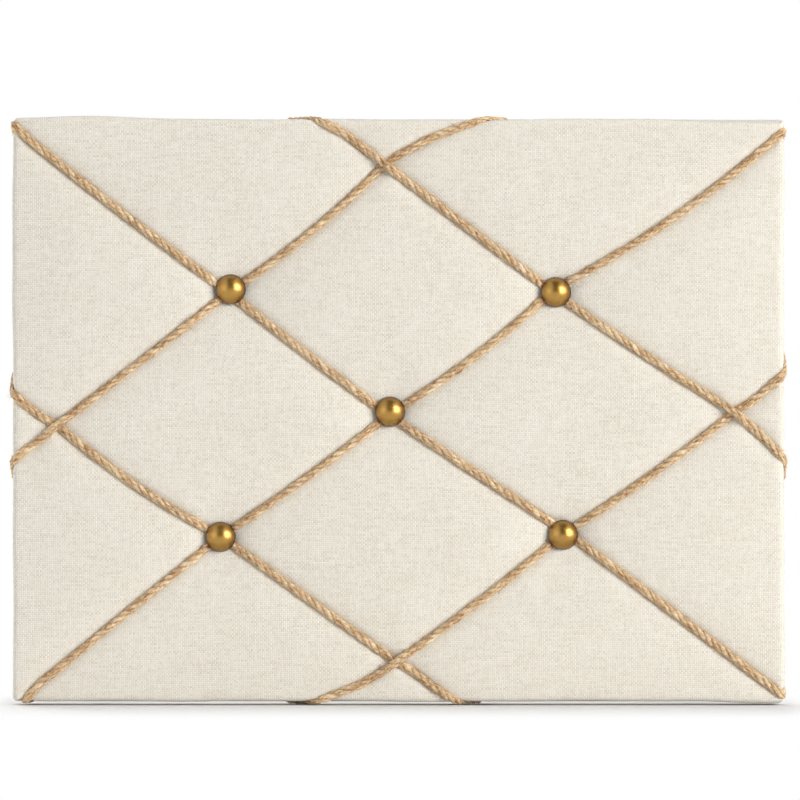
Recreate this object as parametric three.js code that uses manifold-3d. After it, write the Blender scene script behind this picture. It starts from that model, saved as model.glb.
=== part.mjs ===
// A padded linen bulletin board with crossed jute twines, domed nails and two D-ring hangers.
// Millimetres. X runs to the right, Z up, and the front faces -Y. The wall is the plane y = 0.
import * as THREE from "three";
import { mergeVertices } from "three/addons/utils/BufferGeometryUtils.js";
import Module from "manifold-3d";

const wasm = await Module();
wasm.setup();

// Board
const BOARD_W = 406.4;
const BOARD_H = 306.6;
const CORNER_R = 3.5; // corners of the board, seen from the front
const CORE_T = 9;
const FIT = 0.3; // clearance between pieces that lie on or in each other

// Linen cover
const COVER_T = 0.8;
const MARGIN = 28; // cloth folded onto the back
const BACK_BEND = 0.4; // inside radius of the cloth at the core's back edge

// Pad, as heights of the cloth's face over the core
const EDGE_R = 9; // round of the padded front edge
const PAD_TWINE = 10; // under a twine, away from its nails
const PAD_CROSS = 8; // where two twines cross
const PAD_NAIL = 3.6; // under a nail
const DIMPLE = 12; // distance in which the cloth climbs out of a dimple
const PILLOW = 3.5; // crown of a large pillow over the twines round it
const PILLOW_AREA = 2500; // a pillow much smaller than this, in square millimetres, hardly crowns
const PILLOW_SHAPE = 0.6; // below 1 a pillow is full near its twines
const STEPS = [0, 0.2, 0.5, 0.8, 1]; // grid of one pillow

// Twine
const TWINE_D = 4.8;
const SPREAD = 0.4; // how much wider a squashed twine gets
const SQUASH_REACH = 12; // distance in which a twine swells again beside a knot
const SQUASH_NAIL = 0.42; // share of the height left at each kind of place
const SQUASH_CROSS = 0.8;
const SQUASH_RIM = 0.88;
const SQUASH_EDGE = 0.6;
const SQUASH_BACK = 0.85;
const SQUASH_STAPLE = 0.65;
const PLATEAU = 4; // level stretch of the upper twine on each side of a crossing
const RAMP = 0.35; // its slope beyond that
const ANCHOR_IN = 37; // staple of a twine end, in from its side
const TAIL = 9; // twine beyond its staple

// Nails
const NAIL_R = 7.65;
const NAIL_DOME = 5.5;
const NAIL_WALL = 0.7;
const NAIL_SHANK_R = 1;
const NAIL_DEPTH = 7; // in the core
const NAIL_TIP = 2.5;

// Places of the nails, from the two edges nearest to each, and of the middle nail from the board's centre
const NAIL_1_IN = [114.9, 89.6];
const NAIL_2_IN = [120.3, 91.2];
const NAIL_3_AT = [-4.4, -0.7];
const NAIL_4_IN = [109.6, 86.7];
const NAIL_5_IN = [116.6, 87.7];

// Places of the crossings without a nail: along the side from its middle, and in from its edge
const CROSS_TOP = [-7.1, 24.2];
const CROSS_LEFT = [-8.3, 23];
const CROSS_RIGHT = [-0.4, 25.1];
const CROSS_BOTTOM = [-1.3, 22.3];

// Places of the twine ends along their sides: over the front edge, at the back edge and at the staple.
// Those at a corner are from the corner, the others from the side's middle.
const END_A = [4.5, 7, 37];
const END_B = [7, 9, 37];
const END_C1 = [-47.7, -58, -80];
const END_C2 = [-27.6, -36, -52];
const END_D1 = [46.2, 57, 78];
const END_D2 = [-27, -35, -50];
const END_E1 = [12, 19, 34];
const END_E2 = [33.6, 44, 64];
const END_F1 = [21, 30, 46];
const END_F2 = [-49.3, -59, -79];

// Slack stretches, as the offset of their middle from the straight line
const BOW_B1_N2 = [2.6, -3.4];
const BOW_N1_TOP = [1.3, -1.6];
const BOW_N5_RIGHT = [0.9, -1];

// Staples
const STAPLE_CROWN = 10.4;
const STAPLE_WIRE = 0.7;
const STAPLE_WIDTH = 1.1;
const STAPLE_DEPTH = 6; // in the core
const STAPLE_POINT = 1;
const COVER_STAPLE_IN = 17; // from the board's edge
const COVER_STAPLES_LONG = [-120, -35, 35, 120]; // from the middle of the top and bottom
const COVER_STAPLES_SHORT = [-85, 0, 85]; // from the middle of the left and right

// D-ring hangers
const HANGER_X = 110; // from the middle
const HANGER_DOWN = 70; // ring's bar below the top edge
const STRAP_W = 10;
const STRAP_T = 1;
const STRAP_L = 26; // below the bar
const STRAP_LEAF_GAP = 0.15; // between the two leaves of the folded strap
const RING_WIRE_R = 1.2;
const RING_RUN = 0.25; // clearance of the bar in the strap
const RING_IN_W = 15;
const RING_IN_H = 11;
const RING_CORNER = 2.2;
const RING_LEG = 4.5; // straight leg of the D, from the bar's middle
const RING_REST = 6; // degrees that the hanging ring leans off its strap
const SCREW_UP = 6; // from the strap's lower end
const SCREW_R = 1.5;
const SCREW_HEAD_R = 3.2;
const SCREW_HEAD_H = 2;
const SCREW_DEPTH = 6.5; // in the core
const SCREW_SLOT_W = 0.9;
const SCREW_SLOT_L = 3.6;
const SCREW_SLOT_DEPTH = 1.1;

// Wall bumpers
const BUMPER_R = 6;
const BUMPER_H = 6;
const BUMPER_CHAMFER = 0.8;
const BUMPER_SIDE_IN = 48; // from the left and right edges
const BUMPER_END_IN = 14; // from the top and bottom edges

// Worked out from the sizes above; heights are over the core's front face, and grow to the front
const HALF_W = BOARD_W / 2;
const HALF_H = BOARD_H / 2;
const RIM_W = HALF_W - EDGE_R;
const RIM_H = HALF_H - EDGE_R;
const TWINE_R = TWINE_D / 2;
const BACK = -(CORE_T + FIT + COVER_T); // rear face of the folded cloth
const BACK_R = COVER_T + BACK_BEND;
const CORE_FRONT = BUMPER_H + FIT - BACK; // from the wall
const CORE_INSET = COVER_T + FIT;
const SCREW_DOWN = STRAP_L - SCREW_UP; // below the bar
const FRONT_ARC = [0, 30, 60, 90]; // degrees from facing front to facing outwards
const BACK_ARC = [90, 135, 180]; // degrees from facing outwards to facing back
const CORNER_MIN = 0.5;
const WIRE_SIDES = 8; // facets round a twine or a wire
const HOLE_SIDES = 8;
const HOLE_TURN = 16; // degrees, so that no corner of a nail hole falls on a fold of the cloth
const NAIL_SIDES = 18;
const SCREW_SIDES = 12;
const BUMPER_SIDES = 16;
const TINY = 1e-6;
const WELD = 1e-4; // vertices closer than this are one
const CORNER_S = 0.01; // half a corner's share of one side when two loops are joined

// Finishes
const LINEN = { color: 0xe9e3d7, roughness: 0.95, metalness: 0 };
const WADDING = { color: 0xf4f2ec, roughness: 1, metalness: 0 };
const FIBREBOARD = { color: 0xb5926a, roughness: 0.85, metalness: 0 };
const JUTE = { color: 0xcdaa7d, roughness: 0.9, metalness: 0 };
const BRASS = { color: 0xa5823c, roughness: 0.3, metalness: 1 };
const STEEL = { color: 0xb9babc, roughness: 0.35, metalness: 1 };
const RUBBER = { color: 0x3a3836, roughness: 0.8, metalness: 0 };

const board = new THREE.Group();

function addPiece(name, geometry, finish) {
  const mesh = new THREE.Mesh(geometry, new THREE.MeshStandardMaterial(finish));
  mesh.name = name;
  board.add(mesh);
}

function world(x, z, h) {
  return new THREE.Vector3(x, -(CORE_FRONT + h), z);
}

// Solids

function solidOf(geometry) {
  const bare = geometry.index ? geometry.toNonIndexed() : geometry.clone();
  bare.deleteAttribute("normal");
  bare.deleteAttribute("uv");
  const merged = mergeVertices(bare, WELD);
  const mesh = new wasm.Mesh({
    numProp: 3,
    vertProperties: merged.attributes.position.array,
    triVerts: new Uint32Array(merged.index.array),
  });
  return new wasm.Manifold(mesh);
}

function geometryOf(solid) {
  const mesh = solid.getMesh();
  const geometry = new THREE.BufferGeometry();
  geometry.setAttribute("position", new THREE.BufferAttribute(mesh.vertProperties, 3));
  geometry.setIndex(new THREE.BufferAttribute(mesh.triVerts, 1));
  return geometry;
}

function trianglesOf(points) {
  const flat = points.flatMap((p) => [p.x, p.y, p.z]);
  const geometry = new THREE.BufferGeometry();
  geometry.setAttribute("position", new THREE.Float32BufferAttribute(flat, 3));
  return geometry;
}

// A round hole through whatever lies between two heights.
function drill(x, z, radius, low, high) {
  const hole = new THREE.CylinderGeometry(radius, radius, high - low, HOLE_SIDES);
  hole.rotateY(THREE.MathUtils.degToRad(HOLE_TURN));
  const middle = world(x, z, (low + high) / 2);
  hole.translate(middle.x, middle.y, middle.z);
  return solidOf(hole);
}

// A turned piece from [radius, height] points that start and end on its axis.
function turned(profile, segments, x, z) {
  const points = profile.map(([r, h]) => new THREE.Vector2(r, h));
  const geometry = new THREE.LatheGeometry(points, segments);
  geometry.rotateX(Math.PI);
  const foot = world(x, z, 0);
  geometry.translate(foot.x, foot.y, foot.z);
  return geometry;
}

// Layout of the front: nails, and crossings without a nail

const nails = {
  n1: { x: -HALF_W + NAIL_1_IN[0], z: HALF_H - NAIL_1_IN[1] },
  n2: { x: HALF_W - NAIL_2_IN[0], z: HALF_H - NAIL_2_IN[1] },
  n3: { x: NAIL_3_AT[0], z: NAIL_3_AT[1] },
  n4: { x: -HALF_W + NAIL_4_IN[0], z: -HALF_H + NAIL_4_IN[1] },
  n5: { x: HALF_W - NAIL_5_IN[0], z: -HALF_H + NAIL_5_IN[1] },
};
const crossings = {
  top: { x: CROSS_TOP[0], z: HALF_H - CROSS_TOP[1] },
  left: { x: -HALF_W + CROSS_LEFT[1], z: CROSS_LEFT[0] },
  right: { x: HALF_W - CROSS_RIGHT[1], z: CROSS_RIGHT[0] },
  bottom: { x: CROSS_BOTTOM[0], z: -HALF_H + CROSS_BOTTOM[1] },
};

const sides = {
  left: { x: -1, z: 0, half: HALF_W },
  right: { x: 1, z: 0, half: HALF_W },
  top: { x: 0, z: 1, half: HALF_H },
  bottom: { x: 0, z: -1, half: HALF_H },
};

// A twine end as places along its side from the side's middle. One at a corner starts from the rim's corner.
function cornerEnd(side, sign, half, [exit, turn, anchor]) {
  const place = (from) => sign * (half - from);
  return { side, exit: place(exit), turn: place(turn), anchor: place(anchor), corner: true };
}

function sideEnd(side, [exit, turn, anchor]) {
  return { side, exit, turn, anchor };
}

const ends = {
  a1: cornerEnd("left", 1, HALF_H, END_A),
  a2: cornerEnd("right", -1, HALF_H, END_A),
  b1: cornerEnd("right", 1, HALF_H, END_B),
  b2: cornerEnd("bottom", -1, HALF_W, END_B),
  c1: sideEnd("top", END_C1),
  c2: sideEnd("right", END_C2),
  d1: sideEnd("top", END_D1),
  d2: sideEnd("left", END_D2),
  e1: sideEnd("left", END_E1),
  e2: sideEnd("bottom", END_E2),
  f1: sideEnd("right", END_F1),
  f2: sideEnd("bottom", END_F2),
};

// The twines from end to end, and the knots where each lies over the other one.
const twines = {
  a: { route: ["a1", "n1", "n3", "n5", "a2"], over: ["n3"] },
  b: { route: ["b1", "n2", "n3", "n4", "b2"], over: [] },
  c: { route: ["c1", "top", "n2", "right", "c2"], over: ["top", "n2", "right"] },
  d: { route: ["d1", "top", "n1", "left", "d2"], over: ["n1", "left"] },
  e: { route: ["e1", "left", "n4", "bottom", "e2"], over: ["n4"] },
  f: { route: ["f1", "right", "n5", "bottom", "f2"], over: ["n5", "bottom"] },
};

const bows = {
  "b1-n2": BOW_B1_N2,
  "n1-top": BOW_N1_TOP,
  "n5-right": BOW_N5_RIGHT,
};

// The pillows between the twines, with their corners counterclockwise; three corners make a triangle.
const pillows = [
  ["a1", "e1", "left", "n1"],
  ["e1", "d2", "left"],
  ["d2", "b2", "n4", "left"],
  ["b2", "f2", "bottom", "n4"],
  ["f2", "e2", "bottom"],
  ["e2", "a2", "n5", "bottom"],
  ["a2", "c2", "right", "n5"],
  ["c2", "f1", "right"],
  ["f1", "b1", "n2", "right"],
  ["b1", "d1", "top", "n2"],
  ["d1", "c1", "top"],
  ["c1", "a1", "n1", "top"],
  ["n1", "n3", "n2", "top"],
  ["n3", "n5", "right", "n2"],
  ["n4", "bottom", "n5", "n3"],
  ["left", "n4", "n3", "n1"],
];

// A point at a distance along a side and inwards from it.
function onSide(name, along, inset) {
  const side = sides[name];
  return {
    x: side.x * (side.half - inset) + Math.abs(side.z) * along,
    z: side.z * (side.half - inset) + Math.abs(side.x) * along,
  };
}

// Where a twine end passes the rim, the line along which the edge begins to curve back.
function rimPoint(end) {
  if (end.corner) {
    const exit = onSide(end.side, end.exit, 0);
    return { x: Math.sign(exit.x) * RIM_W, z: Math.sign(exit.z) * RIM_H };
  }
  const side = sides[end.side];
  const knot = crossings[end.side];
  const depth = side.half - (side.x * knot.x + side.z * knot.z);
  const start = Math.abs(side.z) * knot.x + Math.abs(side.x) * knot.z;
  const along = start + ((end.exit - start) * (depth - EDGE_R)) / depth;
  return onSide(end.side, along, EDGE_R);
}

const places = { ...nails, ...crossings };
for (const name in ends) places[name] = rimPoint(ends[name]);

// The line that a twine takes between two neighbouring places, at t from 0 to 1.
function onRun(from, to, t) {
  const bow = bows[from + "-" + to] ?? bows[to + "-" + from] ?? [0, 0];
  const swell = 4 * t * (1 - t);
  return {
    x: places[from].x + (places[to].x - places[from].x) * t + bow[0] * swell,
    z: places[from].z + (places[to].z - places[from].z) * t + bow[1] * swell,
  };
}

// Front of the pad and the cover

// Height of the cloth where no pillow lifts it.
function pressedHeight(x, z) {
  const inside = Math.min(RIM_W - Math.abs(x), RIM_H - Math.abs(z));
  if (inside < TINY) return EDGE_R;
  let height = PAD_TWINE - (PAD_TWINE - EDGE_R) * Math.exp(-inside / DIMPLE);
  for (const [knots, low] of [[nails, PAD_NAIL], [crossings, PAD_CROSS]]) {
    for (const knot of Object.values(knots)) {
      height -= (PAD_TWINE - low) * Math.exp(-Math.hypot(x - knot.x, z - knot.z) / DIMPLE);
    }
  }
  return height;
}

// The points of one pillow's side, the same from both pillows that share it.
function sidePoints(from, to) {
  const [first, last] = [from, to].sort();
  const points = STEPS.map((t) => onRun(first, last, t));
  if (first !== from) points.reverse();
  return points;
}

function areaOf(corners) {
  let twice = 0;
  corners.forEach((p, i) => {
    const q = corners[(i + 1) % corners.length];
    twice += p.x * q.z - q.x * p.z;
  });
  return twice / 2;
}

// A grid of points over one pillow, blended from its four sides.
function pillowGrid(names) {
  const [a, b, c, d = c] = names;
  const low = sidePoints(a, b);
  const right = sidePoints(b, c);
  const high = c === d ? STEPS.map(() => places[c]) : sidePoints(d, c);
  const left = sidePoints(a, d);
  const crown = PILLOW * (1 - Math.exp(-areaOf(names.map((n) => places[n])) / PILLOW_AREA));
  const last = STEPS.length - 1;
  const blend = (key, u, v, i, j) =>
    (1 - v) * low[i][key] + v * high[i][key] + (1 - u) * left[j][key] + u * right[j][key]
    - (1 - u) * ((1 - v) * low[0][key] + v * high[0][key])
    - u * ((1 - v) * low[last][key] + v * high[last][key]);
  return STEPS.map((v, j) => STEPS.map((u, i) => {
    let point = { x: blend("x", u, v, i, j), z: blend("z", u, v, i, j) };
    if (j === 0) point = low[i];
    else if (j === last) point = high[i];
    else if (i === 0) point = left[j];
    else if (i === last) point = right[j];
    const full = (16 * u * (1 - u) * v * (1 - v)) ** PILLOW_SHAPE;
    return { x: point.x, z: point.z, h: pressedHeight(point.x, point.z) + crown * full };
  }));
}

// Triangles of the cloth's front face, facing the front.
function frontTriangles() {
  const triangles = [];
  for (const names of pillows) {
    const grid = pillowGrid(names);
    for (let j = 0; j + 1 < STEPS.length; j++) {
      for (let i = 0; i + 1 < STEPS.length; i++) {
        triangles.push([grid[j][i], grid[j][i + 1], grid[j + 1][i + 1]]);
        triangles.push([grid[j][i], grid[j + 1][i + 1], grid[j + 1][i]]);
      }
    }
  }
  return triangles.filter((t) => areaOf(t) > TINY);
}

const front = frontTriangles();

// Height of the cloth's face at any place of the board.
function clothHeight(x, z) {
  for (const [p, q, r] of front) {
    const whole = (q.x - p.x) * (r.z - p.z) - (r.x - p.x) * (q.z - p.z);
    const toQ = ((x - p.x) * (r.z - p.z) - (r.x - p.x) * (z - p.z)) / whole;
    const toR = ((q.x - p.x) * (z - p.z) - (x - p.x) * (q.z - p.z)) / whole;
    if (toQ > -TINY && toR > -TINY && toQ + toR < 1 + TINY) {
      return p.h + toQ * (q.h - p.h) + toR * (r.h - p.h);
    }
  }
  const inset = Math.min(HALF_W - Math.abs(x), HALF_H - Math.abs(z), EDGE_R);
  return Math.sqrt(Math.max(0, EDGE_R ** 2 - (EDGE_R - inset) ** 2));
}

// The edge's section: a quarter round at the front and a tight bend at the back, with a lift off it.
function frontBend(degrees, lift) {
  const angle = THREE.MathUtils.degToRad(degrees);
  return {
    inset: EDGE_R - (EDGE_R + lift) * Math.sin(angle),
    h: (EDGE_R + lift) * Math.cos(angle),
  };
}

function backBend(degrees, lift) {
  const angle = THREE.MathUtils.degToRad(degrees);
  return {
    inset: BACK_R - (BACK_R + lift) * Math.sin(angle),
    h: BACK + BACK_R + (BACK_R + lift) * Math.cos(angle),
  };
}

// A loop round the board at one inset and height, counterclockwise from the top left corner. Each
// point has s, its share of the way round, with one unit for each side.
function loopAt({ inset, h }) {
  const radius = Math.max(CORNER_R - inset, CORNER_MIN);
  const cx = HALF_W - inset - radius;
  const cz = HALF_H - inset - radius;
  const corners = [[-1, 1, 1], [-1, -1, 2], [1, -1, 3], [1, 1, 0]];
  const loop = corners.flatMap(([sx, sz, quarter], k) => [0, 0.5, 1].map((t) => {
    const angle = ((quarter + t) * Math.PI) / 2;
    return {
      x: sx * cx + radius * Math.cos(angle),
      z: sz * cz + radius * Math.sin(angle),
      h,
      s: (k + (2 * t - 1) * CORNER_S + 4) % 4,
    };
  }));
  return loop.sort((p, q) => p.s - q.s);
}

// The rim as a loop of the front's own points, lowered by a drop.
function rimLoop(drop) {
  const corner = [
    { x: -RIM_W, z: RIM_H },
    { x: -RIM_W, z: -RIM_H },
    { x: RIM_W, z: -RIM_H },
    { x: RIM_W, z: RIM_H },
  ];
  const seen = new Map();
  for (const p of front.flat()) {
    for (let k = 0; k < 4; k++) {
      const from = corner[k];
      const to = corner[(k + 1) % 4];
      const length = Math.hypot(to.x - from.x, to.z - from.z);
      const along = ((p.x - from.x) * (to.x - from.x) + (p.z - from.z) * (to.z - from.z)) / length;
      const off = ((p.x - from.x) * (to.z - from.z) - (p.z - from.z) * (to.x - from.x)) / length;
      if (Math.abs(off) > TINY || along < -TINY || along > length - TINY) continue;
      const s = k + Math.max(along, 0) / length;
      seen.set(s.toFixed(6), { x: p.x, z: p.z, h: p.h - drop, s });
    }
  }
  return [...seen.values()].sort((p, q) => p.s - q.s);
}

// Triangles between two loops, the second one further out or further round the edge.
function strip(inner, outer) {
  const triangles = [];
  let i = 0;
  let j = 0;
  const at = (loop, k) => loop[k % loop.length];
  const reach = (loop, k) => (k < loop.length ? loop[k].s : 4);
  while (i < inner.length || j < outer.length) {
    const a = at(inner, i);
    const b = at(outer, j);
    const stepInner = j >= outer.length || (i < inner.length && reach(inner, i + 1) <= reach(outer, j + 1));
    if (stepInner) {
      i += 1;
      triangles.push([a, b, at(inner, i)]);
    } else {
      j += 1;
      triangles.push([a, b, at(outer, j)]);
    }
  }
  return triangles;
}

function lowered(triangles, drop) {
  return triangles.map((t) => t.map((p) => ({ x: p.x, z: p.z, h: p.h - drop })));
}

function turnedOver(triangles) {
  return triangles.map(([p, q, r]) => [p, r, q]);
}

function sheetSolid(triangles) {
  return solidOf(trianglesOf(triangles.flat().map((p) => world(p.x, p.z, p.h))));
}

// The loops of one face of the cover, from the rim to the end of the folded margin.
function coverLoops(lift) {
  return [
    rimLoop(-lift),
    ...FRONT_ARC.slice(1).map((degrees) => loopAt(frontBend(degrees, lift))),
    ...BACK_ARC.map((degrees) => loopAt(backBend(degrees, lift))),
    loopAt({ inset: MARGIN, h: BACK - lift }),
  ];
}

function coverSolid() {
  const loops = [...coverLoops(0), ...coverLoops(-COVER_T).reverse()];
  const strips = loops.slice(1).flatMap((loop, i) => strip(loops[i], loop));
  return sheetSolid([...front, ...strips, ...turnedOver(lowered(front, COVER_T))]);
}

function padSolid() {
  const drop = COVER_T + FIT;
  const loops = [rimLoop(drop), ...FRONT_ARC.slice(1).map((degrees) => loopAt(frontBend(degrees, -drop)))];
  const foot = loops[loops.length - 1];
  for (const p of foot) p.h = FIT;
  const strips = loops.slice(1).flatMap((loop, i) => strip(loops[i], loop));
  const base = foot.slice(2).map((p, i) => [foot[0], p, foot[i + 1]]);
  return sheetSolid([...lowered(front, drop), ...strips, ...base]);
}

function coreSolid() {
  const outline = loopAt({ inset: CORE_INSET, h: 0 }).map((p) => new THREE.Vector2(p.x, p.z));
  const slab = new THREE.ExtrudeGeometry(new THREE.Shape(outline), { depth: CORE_T, bevelEnabled: false });
  slab.rotateX(Math.PI / 2);
  slab.translate(0, -(CORE_FRONT - CORE_T), 0);
  return solidOf(slab);
}

// Twines

const SQUASHES = { nail: SQUASH_NAIL, crossing: SQUASH_CROSS, rim: SQUASH_RIM };

function kindOf(place) {
  if (place in nails) return "nail";
  return place in crossings ? "crossing" : "rim";
}

// Half the height and half the width of a twine pressed to a share of its height.
function section(share) {
  return { high: TWINE_R * share, wide: TWINE_R * (1 + SPREAD * (1 - share)) };
}

// Distances along a run at which the twine gets a ring: beside its knots, and on the cloth's grid.
function stationsOf(length) {
  const near = [0, PLATEAU, NAIL_R + FIT];
  const stations = [...near, ...near.map((s) => length - s)];
  for (const s of STEPS.map((t) => t * length)) {
    if (stations.every((other) => Math.abs(other - s) > PLATEAU / 2)) stations.push(s);
  }
  return stations.sort((p, q) => p - q);
}

// The rings of one twine on the front, lying on the cloth.
function frontRings(route) {
  const rings = [];
  for (let k = 0; k + 1 < route.length; k++) {
    const [from, to] = [route[k], route[k + 1]];
    const [p, q] = [places[from], places[to]];
    const length = Math.hypot(q.x - p.x, q.z - p.z);
    const across = { x: -(q.z - p.z) / length, z: (q.x - p.x) / length };
    for (const s of stationsOf(length)) {
      if (s === 0 && k > 0) continue;
      const knots = [{ place: from, away: s }, { place: to, away: length - s }];
      const lost = knots.map(({ place, away }) =>
        (1 - SQUASHES[kindOf(place)]) * Math.exp(-((away / SQUASH_REACH) ** 2)));
      const { high, wide } = section(1 - lost[0] - lost[1]);
      const middle = onRun(from, to, s / length);
      const heights = [-1, -0.5, 0, 0.5, 1].map((w) => FIT + high * Math.sqrt(1 - w * w)
        + clothHeight(middle.x + across.x * w * wide, middle.z + across.z * w * wide));
      rings.push({ ...middle, h: Math.max(...heights), high, wide, knots, facing: 0 });
    }
  }
  return rings;
}

for (const twine of Object.values(twines)) twine.rings = frontRings(twine.route);

// Top of the lower twine at each knot, then the upper twine over it.
const knotTops = {};
for (const twine of Object.values(twines)) {
  for (const ring of twine.rings) {
    for (const { place, away } of ring.knots) {
      if (away > TINY || kindOf(place) === "rim" || twine.over.includes(place)) continue;
      knotTops[place] = ring.h + ring.high;
    }
  }
}
for (const twine of Object.values(twines)) {
  for (const ring of twine.rings) {
    for (const { place, away } of ring.knots) {
      if (!twine.over.includes(place)) continue;
      const drop = RAMP * Math.max(0, away - PLATEAU);
      ring.h = Math.max(ring.h, knotTops[place] + 2 * FIT + ring.high - drop);
    }
  }
}

// The rings of one twine end, from the rim round the edge to its tail on the back.
function endRings(name) {
  const end = ends[name];
  const side = sides[end.side];
  const rimAlong = Math.abs(side.z) * places[name].x + Math.abs(side.x) * places[name].z;
  const anchor = onSide(end.side, end.anchor, ANCHOR_IN);
  const turn = onSide(end.side, end.turn, BACK_R);
  const rings = [];
  const add = (plan, h, share, degrees) => {
    rings.push({ ...plan, h, ...section(share), side, facing: THREE.MathUtils.degToRad(degrees) });
  };
  const bend = (shape, degrees, along, share) => {
    const { inset, h } = shape(degrees, FIT + TWINE_R * share);
    add(onSide(end.side, along, inset), h, share, degrees);
  };
  for (const degrees of FRONT_ARC.slice(1)) {
    const t = degrees / 90;
    const share = SQUASH_RIM + (SQUASH_EDGE - SQUASH_RIM) * t;
    bend(frontBend, degrees, rimAlong + (end.exit - rimAlong) * t, share);
  }
  for (const degrees of BACK_ARC) {
    const t = degrees / 180;
    bend(backBend, degrees, end.exit + (end.turn - end.exit) * t, SQUASH_EDGE);
  }
  const toAnchor = (t) => ({ x: turn.x + (anchor.x - turn.x) * t, z: turn.z + (anchor.z - turn.z) * t });
  const past = (MARGIN + FIT - BACK_R) / (ANCHOR_IN - BACK_R);
  add(toAnchor(past), BACK - FIT - TWINE_R * SQUASH_BACK, SQUASH_BACK, 180);
  add(anchor, -CORE_T - FIT - TWINE_R * SQUASH_STAPLE, SQUASH_STAPLE, 180);
  const length = Math.hypot(anchor.x - turn.x, anchor.z - turn.z);
  add(toAnchor(1 + TAIL / length), -CORE_T - FIT - TWINE_R * SQUASH_BACK, SQUASH_BACK, 180);
  return rings;
}

// A closed tube through rings of points, each with its middle, facing direction and half sizes.
function tube(rings, closed) {
  const count = rings.length;
  const loops = rings.map((ring, i) => {
    const before = rings[closed ? (i + count - 1) % count : Math.max(i - 1, 0)];
    const after = rings[closed ? (i + 1) % count : Math.min(i + 1, count - 1)];
    const along = after.middle.clone().sub(before.middle).normalize();
    const across = along.clone().cross(ring.normal).normalize();
    const up = across.clone().cross(along);
    return Array.from({ length: WIRE_SIDES }, (_, k) => {
      const angle = ((k + 0.5) * 2 * Math.PI) / WIRE_SIDES;
      return ring.middle.clone()
        .addScaledVector(across, ring.wide * Math.cos(angle))
        .addScaledVector(up, ring.high * Math.sin(angle));
    });
  });
  const points = [];
  for (let i = 0; i < (closed ? count : count - 1); i++) {
    const here = loops[i];
    const next = loops[(i + 1) % count];
    for (let k = 0; k < WIRE_SIDES; k++) {
      const m = (k + 1) % WIRE_SIDES;
      points.push(here[k], next[k], here[m], here[m], next[k], next[m]);
    }
  }
  for (let k = 1; !closed && k + 1 < WIRE_SIDES; k++) {
    const last = loops[count - 1];
    points.push(loops[0][0], loops[0][k], loops[0][k + 1], last[0], last[k + 1], last[k]);
  }
  return trianglesOf(points);
}

function twineSolid(twine) {
  const [first, last] = [twine.route[0], twine.route[twine.route.length - 1]];
  const rings = [...endRings(first).reverse(), ...twine.rings, ...endRings(last)].map((ring) => {
    const outwards = Math.sin(ring.facing);
    const normal = new THREE.Vector3(0, -Math.cos(ring.facing), 0);
    if (ring.side) normal.set(ring.side.x * outwards, normal.y, ring.side.z * outwards);
    return { middle: world(ring.x, ring.z, ring.h), normal, high: ring.high, wide: ring.wide };
  });
  return solidOf(tube(rings, false));
}

// Nails

// Height of a nail's rim, which presses on the two twines under it and on the cloth.
function nailRim(name) {
  const tops = Object.values(twines).flatMap((twine) => twine.rings
    .filter((ring) => ring.knots.some((k) => k.place === name && k.away < NAIL_R + 2 * FIT))
    .map((ring) => ring.h + ring.high));
  const { x, z } = nails[name];
  for (let angle = 0; angle < 360; angle += 360 / NAIL_SIDES) {
    const turn = THREE.MathUtils.degToRad(angle);
    tops.push(clothHeight(x + NAIL_R * Math.cos(turn), z + NAIL_R * Math.sin(turn)));
  }
  return Math.max(...tops) + FIT;
}

function nailGeometry(name) {
  const rim = nailRim(name);
  const ball = (NAIL_R ** 2 + NAIL_DOME ** 2) / (2 * NAIL_DOME);
  const centre = rim + NAIL_DOME - ball;
  const dome = (radius, r) => [r, centre + Math.sqrt(radius ** 2 - r ** 2)];
  const inside = ball - NAIL_WALL;
  const mouth = Math.sqrt(inside ** 2 - (rim - centre) ** 2);
  const profile = [
    [0, -NAIL_DEPTH],
    [NAIL_SHANK_R, -NAIL_DEPTH + NAIL_TIP],
    dome(inside, NAIL_SHANK_R),
    dome(inside, mouth * 0.6),
    dome(inside, mouth * 0.88),
    [mouth, rim],
    [NAIL_R, rim],
    dome(ball, NAIL_R * 0.92),
    dome(ball, NAIL_R * 0.75),
    dome(ball, NAIL_R * 0.5),
    dome(ball, NAIL_R * 0.25),
    [0, rim + NAIL_DOME],
  ];
  return turned(profile, NAIL_SIDES, nails[name].x, nails[name].z);
}

// Staples

// One staple with its crown's front face at a height, lying across a direction in plan.
function staple(plan, direction, crown) {
  const length = STAPLE_WIRE + STAPLE_DEPTH - CORE_T - crown;
  const half = STAPLE_CROWN / 2;
  const outline = [
    [-half, 0],
    [half, 0],
    [half, length - STAPLE_POINT],
    [half - STAPLE_WIRE, length],
    [half - STAPLE_WIRE, STAPLE_WIRE],
    [-half + STAPLE_WIRE, STAPLE_WIRE],
    [-half + STAPLE_WIRE, length],
    [-half, length - STAPLE_POINT],
  ];
  const shape = new THREE.Shape(outline.map(([u, v]) => new THREE.Vector2(u, v)));
  const wire = new THREE.ExtrudeGeometry(shape, { depth: STAPLE_WIDTH, bevelEnabled: false });
  wire.translate(0, 0, -STAPLE_WIDTH / 2);
  const holes = [-1, 1].map((sign) => {
    const deep = length + 2 * FIT;
    const leg = new THREE.BoxGeometry(STAPLE_WIRE + 2 * FIT, deep, STAPLE_WIDTH + 2 * FIT);
    leg.translate(sign * (half - STAPLE_WIRE / 2), length / 2, 0);
    return leg;
  });
  const across = new THREE.Vector3(direction.x, 0, direction.z).normalize();
  const inwards = new THREE.Vector3(0, -1, 0);
  const pose = new THREE.Matrix4().makeBasis(across, inwards, across.clone().cross(inwards));
  pose.setPosition(world(plan.x, plan.z, crown - STAPLE_WIRE));
  return { wire: wire.applyMatrix4(pose), holes: holes.map((leg) => solidOf(leg.applyMatrix4(pose))) };
}

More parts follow.
